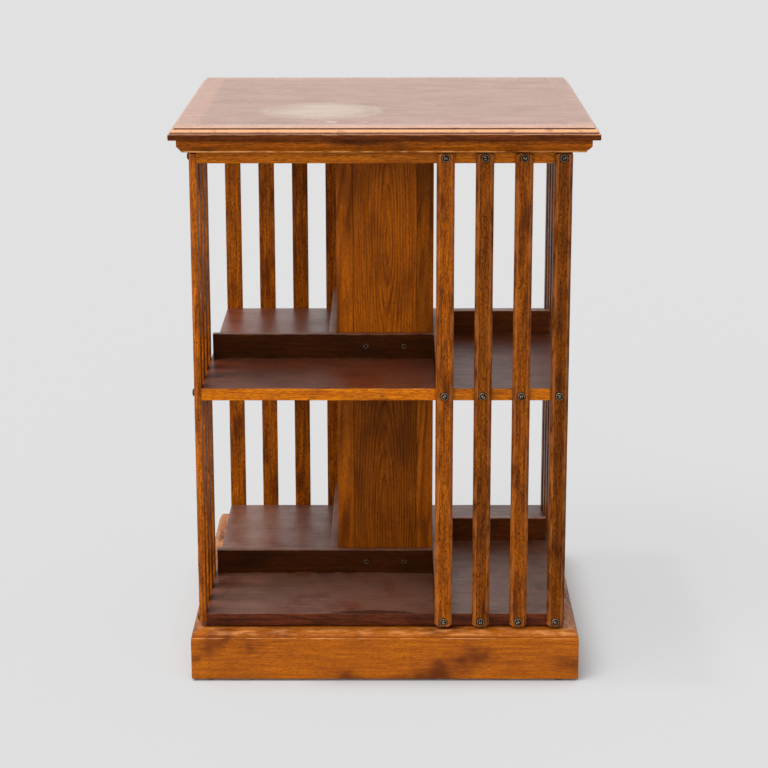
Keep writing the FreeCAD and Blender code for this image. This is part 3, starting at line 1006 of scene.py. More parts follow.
def hand_over(
    obj: bpy.types.Object,
    body: str,
    nodes: Iterable[str],
    material: bpy.types.Material | None = None,
) -> None:
    """Gives a finished piece its material, its body and the CAD nodes that it stands for.

    Its broad faces first lead the shading, which keeps them flat up to their rounded edges.

    Args:
        obj: the piece, in place.
        body: the CAD body that it rides on.
        nodes: the CAD nodes that it replaces.
        material: its material, or None where it has one.
    """
    obj.modifiers.new("broad faces lead", "WEIGHTED_NORMAL").keep_sharp = True
    settle(obj)
    if material is not None:
        obj.data.materials.clear()
        obj.data.materials.append(material)
    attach(obj, body)
    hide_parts(*nodes)
    LOG.info("%s: %d faces on %s", obj.name, len(obj.data.polygons), body)


def dress_part(
    obj: bpy.types.Object, material: bpy.types.Material,
    belongs: Callable[[bpy.types.MeshPolygon], bool],
) -> None:
    """Gives some faces of a dressed piece a second finish.

    Args:
        obj: the piece.
        material: the second finish.
        belongs: says whether a face has it.
    """
    obj.data.materials.append(material)
    for face in obj.data.polygons:
        face.material_index = int(belongs(face))


def plank_shift(seed: int) -> Vector:
    """Says where in the log a board was cut, flat, so that its face shows arches.

    Args:
        seed: the board's number.

    Returns:
        The shift of the board's pattern, in metres.
    """
    across = noise.noise(Vector((seed * 1.37, 4.1, 9.7)))
    deep = noise.noise(Vector((seed * 1.37, 9.7, 4.1)))
    return Vector((seed * 0.61, across * HEART_SWAY, HEART_DEPTH + deep * HEART_STRAY))


def wear_at(place: float, seed: float) -> float:
    """How worn an arris is at a place along it, from 0 to 1, by the arris's own seed."""
    return 0.5 + 0.5 * noise.noise(Vector((place / WEAR_LENGTH, seed * 3.7, seed * 1.9)))


def worn_outline(
    corners: Sequence[Corner], place: float, growth: tuple[float, float],
    seeds: tuple[int, int], inset: float = 0.0,
) -> list[tuple[Mark, Vector]]:
    """Rounds a section as wear has left it at one place along a board.

    Args:
        corners: the section's corners.
        place: how far along the board.
        growth: the least share of its radius that an arris has, and how much more it can have.
        seeds: the seed of the first arris's radius, and of the first point's dent.
        inset: how far the outline is drawn in.

    Returns:
        Each point of the outline, with where wear has moved it.
    """
    least, more = growth
    shares = [least + more * wear_at(place, n + seeds[0]) for n in range(len(corners))]
    points = []
    for number, mark in enumerate(rounded(corners, shares)):
        dent = max(mark.worn, 0.0) * WEAR_DEPTH * wear_at(place, number + seeds[1])
        points.append((mark, mark.place - mark.facing * (inset + dent)))
    return points


@dataclass
class Board:
    """A straight board with eased, unevenly worn arrises.

    Attributes:
        low: lowest corner, in metres.
        high: highest corner.
        along: the way that its grain and its length run.
        arris: radius of its long arrises.
        worn: how rubbed its arrises are.
        seed: which board it is.
        step: distance between the rings of points along it.
    """

    low: Vector
    high: Vector
    along: Axis
    arris: float = 0.8 * MM
    worn: float = 1.0
    seed: int = 0
    step: float = 14 * MM

    def axes(self) -> Matrix:
        """Finds the board's own axes.

        Returns:
            The way of its grain, its width and its thickness, from its middle.
        """
        size = self.high - self.low
        others = sorted((a for a in Axis if a is not self.along), key=lambda a: -size[a.value])
        grain, width = self.along.unit, others[0].unit
        matrix = Matrix((grain, width, grain.cross(width))).transposed().to_4x4()
        matrix.translation = (self.low + self.high) / 2
        return matrix

    def section(self) -> list[Corner]:
        """Draws the board's section across its grain.

        Returns:
            The section's corners.
        """
        size = self.axes().to_3x3().inverted() @ (self.high - self.low)
        half_width, half_thickness = abs(size.y) / 2, abs(size.z) / 2
        signs = ((1, -1), (1, 1), (-1, 1), (-1, -1))
        return [Corner(a * half_width, b * half_thickness, self.arris, self.worn) for a, b in signs]

    def stations(self) -> list[tuple[float, float, float, float | None]]:
        """Lists the rings of points along the board, from one end to the other.

        Returns:
            Each ring's place, inset and size, and how worn it is, or None for its arrises' own.
        """
        half = (self.high - self.low)[self.along.value] / 2
        easing = END_EASING * self.arris
        end = [(half, easing, END_SHRINK, 0.0)]
        for degrees in (90, 60, 30, 0):
            angle = math.radians(degrees)
            place = half - easing * (1 - math.sin(angle))
            end.append((place, easing * (1 - math.cos(angle)), 1.0, self.worn))
        run = 2 * (half - EASE)
        count = max(2, round(run / self.step))
        middle = [(EASE - half + run * n / count, 0.0, 1.0, None) for n in range(count + 1)]
        return [(-place, *rest) for place, *rest in end] + middle + end[::-1]

    def shell(self, end_shape: float = 0.0) -> Shell:
        """Builds the board.

        Args:
            end_shape: how far the middle of each end stands past its corners.

        Returns:
            The board's points and faces.
        """
        corners = self.section()
        axes = self.axes()
        stations = self.stations()
        half = stations[-1][0]
        half_width = max(c.x for c in corners)
        seeds = (7 * self.seed, 31 * self.seed)
        shell = Shell()
        rings = []
        for place, inset, shrink, rim in stations:
            points = []
            for mark, spot in worn_outline(corners, place, (0.75, 0.9), seeds, inset):
                across = spot * shrink
                curve = end_shape * (across.x / half_width) ** 2
                local = Vector((place * (1 - curve / half), across.x, across.y))
                worn = mark.worn if rim is None else rim
                points.append(shell.add_point(axes @ local, local, worn))
            rings.append(points)
        shell.join_rings(rings)
        return shell


@dataclass
class MitredMoulding:
    """One side of a moulded frame, its ends cut at 45 degrees.

    Attributes:
        corners: its section, as distance from the middle of the frame and height.
        side: which side of the frame it is.
        joint: how far each mitre stands open.
        seed: which board it is.
        step: distance between the rings of points along it.
    """

    corners: list[Corner]
    side: Side
    joint: float = 0.12 * MM
    seed: int = 0
    step: float = 15 * MM

    def shell(self) -> Shell:
        """Builds the moulding.

        Returns:
            Its points and faces.
        """
        reach = max(c.x for c in self.corners)
        count = round(2 * reach / self.step)
        seeds = (5 * self.seed, 13 * self.seed)
        shell = Shell()
        rings = []
        for share in (2 * n / count - 1 for n in range(count + 1)):
            place = share * reach
            points = []
            for mark, spot in worn_outline(self.corners, place, (0.8, 0.7), seeds):
                # The joint cuts each mitre back a little.
                front = Vector((share * (mark.place.x - self.joint), -spot.x, spot.y))
                grain = Vector((place, -spot.x, spot.y))
                points.append(shell.add_point(self.side.turn @ front, grain, mark.worn))
            rings.append(points)
        shell.join_rings(rings)
        return shell


@dataclass
class SquareTurning:
    """A square board whose edge has the same profile all round.

    Attributes:
        corners: its profile, as distance from the middle and height.
        rounding: radius of the square's corners seen from above.
        hole: whether the profile's innermost corners lie on a round hole.
        seed: which board it is.
        stations: how many steps there are along each side.
    """

    corners: list[Corner]
    rounding: float = 1.2 * MM
    hole: bool = False
    seed: int = 0
    stations: int = 30

    def plan(self, half: float) -> list[Vector]:
        """The points of a square with rounded corners, seen from above.

        Args:
            half: half its width.

        Returns:
            The points, counter-clockwise from the front left corner.
        """
        radius = min(self.rounding, half * 0.5)
        points = []
        for side in Side:
            turn = side.turn.to_3x3()
            start = Vector((-half + radius, -half, 0))
            end = Vector((half - radius, -half, 0))
            for n in range(self.stations + 1):
                points.append(turn @ start.lerp(end, n / self.stations))
            for degrees in (30, 60):
                angle = math.radians(degrees)
                bend = Vector((math.sin(angle), -math.cos(angle), 0)) * radius
                points.append(turn @ (Vector((half - radius, -half + radius, 0)) + bend))
        return points

    def shell(self) -> Shell:
        """Builds the board.

        Returns:
            Its points and faces.
        """
        shell = Shell()
        rings = []
        marks = rounded(self.corners, closed=self.hole)
        bore = min(c.x for c in self.corners)
        widest = self.plan(max(c.x for c in self.corners))
        for number, mark in enumerate(marks):
            points = []
            on_bore = self.hole and mark.place.x < bore + 0.1 * MM
            outline = self.plan(mark.place.x)
            for spot, rim_spot in zip(outline, widest):
                place = rim_spot.normalized() * mark.place.x if on_bore else spot
                run = abs(rim_spot.x) + 2 * abs(rim_spot.y) + 0.1 * (rim_spot.x > 0)
                dent = max(mark.worn, 0.0) * WEAR_DEPTH * wear_at(run, number * 1.3 + self.seed)
                outward = Vector((place.x, place.y, 0)).normalized()
                shift = outward * mark.facing.x + Vector((0, 0, mark.facing.y))
                final = Vector((place.x, place.y, mark.place.y)) - shift * dent
                side = Side(len(points) // (len(outline) // len(Side)))
                # The grain goes round with the edge, and lies one way on the faces.
                on_edge = mark.facing.x > 0.7
                grain = side.turn.inverted() @ final if on_edge else final.copy()
                points.append(shell.add_point(final, grain, mark.worn))
            rings.append(points)
        shell.join_rings(rings, closed=self.hole)
        return shell


@dataclass
class Turning:
    """A round piece turned about an axis that points out of the front face.

    Attributes:
        profile: radius, height above the seat and wear of each ring, from one end to the other.
        segments: how many flats go round it.
        hollow: whether the last ring joins the first, round a hole.
    """

    profile: Sequence[tuple[float, float, float]]
    segments: int = 20
    hollow: bool = False

    def shell(self, outward: Axis = Axis.Y) -> Shell:
        """Builds the turning.

        Args:
            outward: Y for one that points out of the front face, or Z for one that points down.

        Returns:
            Its points and faces.
        """
        shell = Shell()
        rings = []
        for radius, height, worn in self.profile:
            points = []
            for number in range(self.segments):
                angle = math.tau * number / self.segments
                a, b = radius * math.cos(angle), radius * math.sin(angle)
                place = Vector((a, -height, b)) if outward is Axis.Y else Vector((a, b, -height))
                points.append(shell.add_point(place, place.copy(), worn))
            rings.append(points)
        shell.join_rings(rings, self.hollow)
        return shell


# Copies round the case


@dataclass
class FaceArray:
    """Copies of one blank in rows and columns on each face, made by Geometry Nodes.

    Every field but the name is a named input of the node tree.

    Attributes:
        name: the piece's name.
        blank: the object that is copied, facing the front at the origin.
        finish: the material of every copy.
        sides: how many faces carry copies.
        columns: how many copies stand side by side on a face.
        rows: how many stand one above another.
        first_column: place of the first column, to the right of the middle.
        column_pitch: distance between columns.
        first_row: height of the first row.
        row_pitch: distance between rows.
        distance: how far the blank's origin stands from the middle.
        spin: how far each copy is turned on its own axis from the last, in radians.
        tone_start: tone of the first column.
        tone_step: how much darker or paler each next column is.
        tone_turn: how much darker or paler every second column is besides.
        tone_side: how much darker or paler each next face is.
        tone_ebb: how much of the step and turn each next face loses.
        seed: seed of the boards' patterns.
    """

    name: str
    blank: bpy.types.Object
    finish: bpy.types.Material
    sides: int = 4
    columns: int = 1
    rows: int = 1
    first_column: float = 0.0
    column_pitch: float = 0.0
    first_row: float = 0.0
    row_pitch: float = 0.0
    distance: float = 0.0
    spin: float = 0.0
    tone_start: float = 0.0
    tone_step: float = 0.0
    tone_turn: float = 0.0
    tone_side: float = 0.0
    tone_ebb: float = 0.0
    seed: int = 1

    LOW_PLANK: ClassVar[tuple[float, ...]] = (-0.8, -0.05, 0.03)
    HIGH_PLANK: ClassVar[tuple[float, ...]] = (0.8, 0.05, 0.07)
    TONE_STRAY: ClassVar[float] = 0.2
    SOCKETS: ClassVar[dict[type, str]] = {
        bpy.types.Object: "NodeSocketObject",
        bpy.types.Material: "NodeSocketMaterial",
        int: "NodeSocketInt",
        float: "NodeSocketFloat",
    }

    def inputs(self) -> dict[str, tuple[str, Any]]:
        """The tree's named inputs: each one's socket type and value."""
        given = [part for part in fields(self) if part.type in self.SOCKETS]
        return {part.name: (self.SOCKETS[part.type], getattr(self, part.name)) for part in given}

    def tree(self) -> bpy.types.NodeTree:
        """Builds the tree that places, marks and dresses the copies.

        Returns:
            The tree, its inputs named and without values.
        """
        tree = bpy.data.node_groups.new(f"{self.name} on the faces", "GeometryNodeTree")
        add = partial(add_node, tree)
        for name, (kind, value) in self.inputs().items():
            tree.interface.new_socket(name, in_out="INPUT", socket_type=kind)
        tree.interface.new_socket("Geometry", in_out="OUTPUT", socket_type="NodeSocketGeometry")
        given = tree.nodes.new("NodeGroupInput").outputs
        index = add("GeometryNodeInputIndex")
        # A small part is added before each division, so that no whole number is missed.
        level = add(Node.OVER, add(Node.PLUS, index, 0.001), given["rows"])
        past_rows = add(Node.WHOLE, level)
        turns = add(Node.OVER, add(Node.PLUS, past_rows, 0.001), given["columns"])
        side = add(Node.WHOLE, turns)
        row = add(Node.REMAINDER, index, given["rows"])
        column = add(Node.REMAINDER, past_rows, given["columns"])
        x = add(Node.PLUS, add(Node.TIMES, column, given["column_pitch"]), given["first_column"])
        z = add(Node.PLUS, add(Node.TIMES, row, given["row_pitch"]), given["first_row"])
        on_front = add(Node.JOINED, x, add(Node.MINUS, 0.0, given["distance"]), z)
        quarter = add(Node.OVER, add(Node.TIMES, side, math.tau), given["sides"])
        place = add("ShaderNodeVectorRotate", rotation_type="Z_AXIS", named={
            "Vector": on_front, "Angle": quarter})
        face = add(Node.TIMES, given["rows"], given["columns"])
        points = add("GeometryNodePoints", add(Node.TIMES, face, given["sides"]), place)
        facing = add("FunctionNodeAxisAngleToRotation", (0.0, 0.0, 1.0), quarter)
        own_turn = add(Node.TIMES, index, given["spin"])
        spun = add("FunctionNodeAxisAngleToRotation", (0.0, 1.0, 0.0), own_turn)
        turn = add("FunctionNodeRotateRotation", facing, spun, rotation_space="LOCAL")
        blank = add("GeometryNodeObjectInfo", given["blank"], output="Geometry")
        copies = add("GeometryNodeInstanceOnPoints", points, named={
            "Instance": blank, "Rotation": turn})
        chance = add("FunctionNodeRandomValue", data_type="FLOAT", named={
            "Min": -self.TONE_STRAY, "Max": self.TONE_STRAY, "ID": index,
            "Seed": add(Node.PLUS, given["seed"], 7.0)})
        plank = add("FunctionNodeRandomValue", data_type="FLOAT_VECTOR", named={
            "Min": self.LOW_PLANK, "Max": self.HIGH_PLANK, "ID": index,
            "Seed": given["seed"]})
        odd = add(Node.TIMES, add(Node.REMAINDER, column, 2.0), given["tone_turn"])
        tone = add(Node.PLUS, add(Node.TIMES, column, given["tone_step"]), odd)
        left = add(Node.MINUS, 1.0, add(Node.TIMES, side, given["tone_ebb"]))
        tone = add(Node.PLUS, add(Node.TIMES, tone, left), given["tone_start"])
        tone = add(Node.PLUS, tone, add(Node.TIMES, side, given["tone_side"]))
        tone = add(Node.PLUS, tone, chance)
        for name, kind, value in (("plank", "FLOAT_VECTOR", plank), ("tone", "FLOAT", tone)):
            copies = add(
                "GeometryNodeStoreNamedAttribute", data_type=kind, domain="INSTANCE",
                named={"Geometry": copies, "Name": name, "Value": value})
        solid = add("GeometryNodeRealizeInstances", copies)
        dressed = add("GeometryNodeSetMaterial", named={
            "Geometry": solid, "Material": given["finish"]})
        add("NodeGroupOutput", dressed)
        return tree

    def build(self) -> bpy.types.Object:
        """Makes the copies one plain mesh and removes the blank.

        Returns:
            The object that holds them all.
        """
        host = bpy.data.objects.new(self.name, bpy.data.meshes.new(self.name))
        bpy.context.scene.collection.objects.link(host)
        modifier = host.modifiers.new("copies", "NODES")
        modifier.node_group = self.tree()
        sockets = {s.name: s.identifier for s in modifier.node_group.interface.items_tree}
        for name, (_, value) in self.inputs().items():
            modifier[sockets[name]] = value
        settle(host)
        bpy.data.objects.remove(self.blank)
        return host


# The sub-assemblies


@dataclass
class TopBoard:
    """The square top with its raised field and moulded edge.

    Attributes:
        edge_width: from the edge of the field to the outer face.
        field_step: how far the field stands above the bead.
        bead_run: how far the bead reaches out.
        bead_drop: how far the bead drops.
        quirk: the small step below the bead.
        arris: radius of the square edges.
        field_arris: radius of the field's edge.
        field_foot: how far below the field the painted shade beside it reaches, with some dirt.
        bead_flat: the flat between the field's foot and the bead.
        rounding: radius of the corners seen from above.
        core: half the width of the middle of the board, inside its rings of points.
        marks: what time has left on it.
    """

    edge_width: float = 6.8 * MM
    field_step: float = 2.1 * MM
    bead_run: float = 4.3 * MM
    bead_drop: float = 3.4 * MM
    quirk: float = 1.6 * MM
    arris: float = 0.7 * MM
    field_arris: float = 0.5 * MM
    field_foot: float = 0.8 * MM
    bead_flat: float = 0.7 * MM
    rounding: float = 1.6 * MM
    core: float = 60 * MM
    marks: TopMarks = field(default_factory=TopMarks)

    def ledge(self) -> float:
        """The height of the square edge's upper arris."""
        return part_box("top_board")[1].z - self.field_step - self.bead_drop - self.quirk

    def profile(self) -> list[Corner]:
        """Draws the edge's profile.

        Returns:
            The profile's corners, from the underside round to the top face.
        """
        low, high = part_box("top_board")
        flat = high.x - self.edge_width
        step = high.z - self.field_step
        nose_x, nose_z = flat + self.bead_run, step - self.bead_drop
        # The corners worn below 0, the quirks under and over the bead and the foot of the field,
        # are painted dark: painted shade, with some dirt.
        return [
            Corner(self.core, low.z),
            Corner(high.x, low.z, self.arris, 0.5),
            Corner(high.x, self.ledge(), self.arris, 0.9),
            Corner(nose_x, self.ledge(), worn=-1.0),
            Corner(nose_x, nose_z, worn=0.1),
            *ovolo(flat, nose_z, self.bead_run, self.bead_drop, 1.0),
            Corner(flat + self.bead_flat, step, worn=0.1),
            Corner(flat, step, worn=-1.0),
            Corner(flat, high.z - self.field_foot, worn=-0.9),
            Corner(flat, high.z, self.field_arris, 0.9),
            Corner(self.core, high.z),
        ]

    def build(self, edge: bpy.types.Material) -> None:
        """Makes and dresses the top.

        Args:
            edge: the finish of the square edge and the underside.
        """
        turning = SquareTurning(self.profile(), rounding=self.rounding, stations=36)
        obj = made_object(turning.shell(), "top", Vector((0, 0, 0)), 0.0)
        finish = faded_top(TOP_WOOD, self.marks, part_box("top_board")[1].x - self.edge_width)
        hand_over(obj, CASE, ["top_board"], finish)
        limit = self.ledge() - self.arris / 2
        dress_part(obj, edge, lambda face: face.center.z < limit)


@dataclass
class Cornice:
    """The four chamfered mouldings under the top.

    Attributes:
        chamfer: size of the chamfer.
        lip: height of the square lip under the chamfer.
        arris: radius of the arris over the chamfer.
        lip_arris: radius of the arrises of the lip.
        grime: how far down from the top the painted shade under the top's overhang, with some dirt,
            reaches.
    """

    chamfer: float = 6.0 * MM
    lip: float = 1.6 * MM
    arris: float = 0.7 * MM
    lip_arris: float = 0.5 * MM
    grime: float = 3.5 * MM

    def profile(self) -> list[Corner]:
        """Draws the moulding's section.

        Returns:
            The section's corners.
        """
        low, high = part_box("cornice_right")
        lip_x, lip_z = high.x - self.chamfer, low.z + self.lip
        return [
            Corner(low.x, low.z),
            Corner(lip_x, low.z, self.lip_arris, 0.9),
            Corner(lip_x, lip_z, self.lip_arris, 1.0),
            Corner(high.x, lip_z + self.chamfer, self.arris, 0.5),
            # The top of the face, under the top's overhang, is painted dark: painted shade, with
            # some dirt.
            Corner(high.x, high.z - self.grime),
            Corner(high.x, high.z, worn=-0.9),
            Corner(low.x, high.z),
        ]

    def build(self, material: bpy.types.Material) -> None:
        """Makes and dresses the four mouldings.

        Args:
            material: their finish.
        """
        for side in Side:
            seed = 20 + side.value
            shell = MitredMoulding(self.profile(), side, seed=seed).shell()
            name = f"cornice_{side.word}"
            obj = made_object(shell, f"{name}_moulding", plank_shift(seed), 0.0)
            hand_over(obj, CASE, [name], material)


@dataclass
class CaseBoards:
    """The case top, the middle shelf and the bottom shelf.

    Attributes:
        arris: radius of their edges.
        rounding: radius of their corners seen from above.
        edge_from: how far from the middle a face belongs to the outer edge.
        edge_slope: how level a face of the edge can be, from 0 to 1.
        bores: diameter of the hole in each board for the spindle, its bush or its cup.
        tones: how pale each board is; the case top is painted darker, as painted shade under the
            overhanging top and cornice.
    """

    arris: float = 0.8 * MM
    rounding: float = 0.8 * MM
    edge_from: float = 100 * MM
    edge_slope: float = 0.8
    bores: dict[str, float] = field(default_factory=lambda: {
        "case_top": 30.1 * MM, "middle_shelf": 34 * MM, "bottom_shelf": 26.1 * MM})
    # The case top's dark tone is painted shade from the top and cornice over it.
    tones: dict[str, float] = field(default_factory=lambda: {
        "case_top": -1.4, "middle_shelf": -0.9, "bottom_shelf": -0.4})

    def profile(self, node: str) -> list[Corner]:
        """A board's section from its hole to its edge.

        Args:
            node: the CAD node.

        Returns:
            The section's corners.
        """
        low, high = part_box(node)
        bore = self.bores[node] / 2
        return [
            Corner(bore, low.z),
            Corner(high.x, low.z, self.arris, 0.6),
            Corner(high.x, high.z, self.arris, 0.75),
            Corner(bore, high.z),
        ]

    def on_edge(self, face: bpy.types.MeshPolygon) -> bool:
        """Says whether a face belongs to the outer edge."""
        return abs(face.normal.z) < self.edge_slope and face.center.xy.length > self.edge_from

    def build(self, finishes: dict[str, tuple[bpy.types.Material, bpy.types.Material]]) -> None:
        """Makes and dresses the three boards.

        Args:
            finishes: the finish of each board's faces and of its edges.
        """
        for seed, node in enumerate(self.bores, 40):
            turning = SquareTurning(self.profile(node), self.rounding, hole=True, seed=seed)
            obj = made_object(turning.shell(), f"{node}_board", plank_shift(seed), self.tones[node])
            face, edge = finishes[node]
            hand_over(obj, CASE, [node], face)
            dress_part(obj, edge, self.on_edge)


@dataclass
class SlatBoard(Board):
    """A slat: a board with the two arrises of its outer face chamfered.

    Attributes:
        chamfer: width of the chamfers.
    """

    chamfer: float = 3.8 * MM

    def section(self) -> list[Corner]:
        """Draws the slat's section.

        Returns:
            The section's corners. The third axis points into the case, so the outer face is low.
        """
        width, back = (self.high.x - self.low.x) / 2, (self.high.y - self.low.y) / 2
        flat, shoulder = width - self.chamfer, back - self.chamfer
        return [
            Corner(-width, back, self.arris, 0.5),
            Corner(-width, -shoulder, self.arris, 0.7),
            Corner(-flat, -back, self.arris, 1.0),
            Corner(flat, -back, self.arris, 1.0),
            Corner(width, -shoulder, self.arris, 0.7),
            Corner(width, back, self.arris, 0.5),
        ]


@dataclass
class Slats:
    """The sixteen slats, four on each face.

    Attributes:
        per_face: how many stand on a face.
        end_rise: how far the middle of an end stands past its corners.
        arris: radius of the arrises.
    """

    per_face: int = 4
    end_rise: float = 2.6 * MM
    arris: float = 0.5 * MM

    def build(self, material: bpy.types.Material) -> None:
        """Copies and dresses the slats.

        Args:
            material: their finish.
        """
        low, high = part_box("slat_front_1")
        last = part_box(f"slat_front_{self.per_face}")[0]
        middle = Vector(((low.x + high.x) / 2, high.y, 0))
        slat = SlatBoard(low - middle, high - middle, Axis.Z, self.arris, seed=3)
        blank = made_object(slat.shell(self.end_rise), "slat blank", None, 0.0)
        # tone_side paints the slats of each next face round paler: painted light on the back and
        # side slats, which are seen inside the case.
        obj = FaceArray(
            "slats", blank, material, columns=self.per_face, first_column=middle.x,
            column_pitch=(last.x - low.x) / (self.per_face - 1), distance=-high.y,
            tone_start=0.3, tone_step=-0.32, tone_turn=-0.75, tone_side=0.35, tone_ebb=0.4,
            seed=5).build()
        nodes = [f"slat_{side.word}_{n + 1}" for side in Side for n in range(self.per_face)]
        hand_over(obj, CASE, nodes)


@dataclass
class Column:
    """The hollow column, four boards in each tier.

    Attributes:
        side_arris: radius of the arrises of the full-width boards.
        face_arris: radius of the arrises of the boards set between them.
        tones: how pale a board is, where it differs from the rest.
    """

    side_arris: float = 0.8 * MM
    face_arris: float = 0.45 * MM
    tones: dict[tuple[Tier, Side], float] = field(default_factory=lambda: {
        (Tier.LOWER, Side.FRONT): -1.5,
        (Tier.LOWER, Side.RIGHT): -0.4,
        (Tier.LOWER, Side.BACK): -0.4,
        (Tier.LOWER, Side.LEFT): -0.6,
        (Tier.UPPER, Side.FRONT): -0.1,
        (Tier.UPPER, Side.RIGHT): -1.0,
        (Tier.UPPER, Side.LEFT): 0.15,
    })

    def build(self, material: bpy.types.Material) -> None:
        """Makes and dresses the eight boards.

        Args:
            material: their finish.
        """
        for seed, (tier, side) in enumerate(product(Tier, Side), 60):
            node = f"column_{tier.word}_{side.word}"
            arris = self.side_arris if side in (Side.RIGHT, Side.LEFT) else self.face_arris
            board = Board(*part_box(node), Axis.Z, arris, worn=0.6, seed=seed)
            tone = self.tones.get((tier, side), 0.0)
            obj = made_object(board.shell(), f"{node}_board", plank_shift(seed), tone)
            hand_over(obj, CASE, [node], material)


@dataclass
class BookStops:
    """The eight book stops.

    Attributes:
        arris: radius of their arrises.
        tones: how pale the stops of each side are, where they differ from the rest; the stops seen
            inside the case are painted paler, as painted light.
    """

    arris: float = 0.8 * MM
    # The right, back and left stops are painted paler: painted light on the stops seen inside the
    # case.
    tones: dict[Side, float] = field(default_factory=lambda: {
        Side.RIGHT: 0.8, Side.BACK: 2.8, Side.LEFT: 0.5})

    def build(self, material: bpy.types.Material, dusty: bpy.types.Material) -> None:
        """Makes and dresses the stops.

        Args:
            material: the finish of their faces.
            dusty: the finish of their top edges.
        """
        for seed, (tier, side) in enumerate(product(Tier, Side), 80):
            node = f"book_stop_{tier.word}_{side.word}"
            along = Axis.X if side in (Side.FRONT, Side.BACK) else Axis.Y
            board = Board(*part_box(node), along, self.arris, worn=0.8, seed=seed)
            tone = self.tones.get(side, 0.0)
            obj = made_object(board.shell(), f"{node}_board", plank_shift(seed), tone)
            hand_over(obj, CASE, [node], material)
            dress_part(obj, dusty, lambda face: face.normal.z > 0.5)


@dataclass
class SlottedScrew:
    """A countersunk wood screw with a domed, slotted head.

    Attributes:
        head: diameter of the head.
        dome: height of the dome.
        shank: diameter of the shank.
        length: length below the rim of the head.
        tip: radius of the tip.
        slot: width of the slot.
        slot_depth: depth of the slot below the crown.
        slot_arris: radius of the cutter's arrises.
        worn: how bright it is painted at each ring from the rim to the crown: rubbed metal and a
            painted highlight.
    """

    head: float
    dome: float
    shank: float
    length: float
    tip: float = 0.15 * MM
    slot: float = 1.0 * MM
    slot_depth: float = 0.8 * MM
    slot_arris: float = 0.08 * MM
    worn: tuple[float, ...] = (0.0, 0.1, 0.45, 0.9, 0.9)

    def blank(self) -> bpy.types.Object:
        """Makes one screw.

        Returns:
            A screw that points into the front face, with its rim at the origin.
        """
        head, shank = self.head / 2, self.shank / 2
        rings = [(self.tip, -self.length, 0.0), (shank, -self.length + self.shank, 0.0)]
        rings += [(shank, shank - head, 0.0), (head, -0.12 * MM, 0.0), (head, 0.04 * MM, 0.0)]
        for degrees, worn in zip((20, 40, 60, 75), self.worn):
            angle = math.radians(degrees)
            rings.append((head * math.cos(angle), self.dome * math.sin(angle), worn))
        rings.append((head * 0.1, self.dome, self.worn[-1]))
        screw = made_object(Turning(rings).shell(), "screw blank", None, 0.0)
        low = Vector((-self.head, -self.dome - 1 * MM, -self.slot / 2))
        high = Vector((self.head, self.slot_depth - self.dome, self.slot / 2))
        cutter = Board(low, high, Axis.X, self.slot_arris, worn=0.0)
        knife = made_object(cutter.shell(), "slot cutter", None, 0.0)
        boolean = screw.modifiers.new("slot", "BOOLEAN")
        boolean.operation = "DIFFERENCE"
        boolean.solver = "EXACT"
        boolean.object = knife
        settle(screw)
        bpy.data.objects.remove(knife)
        return screw


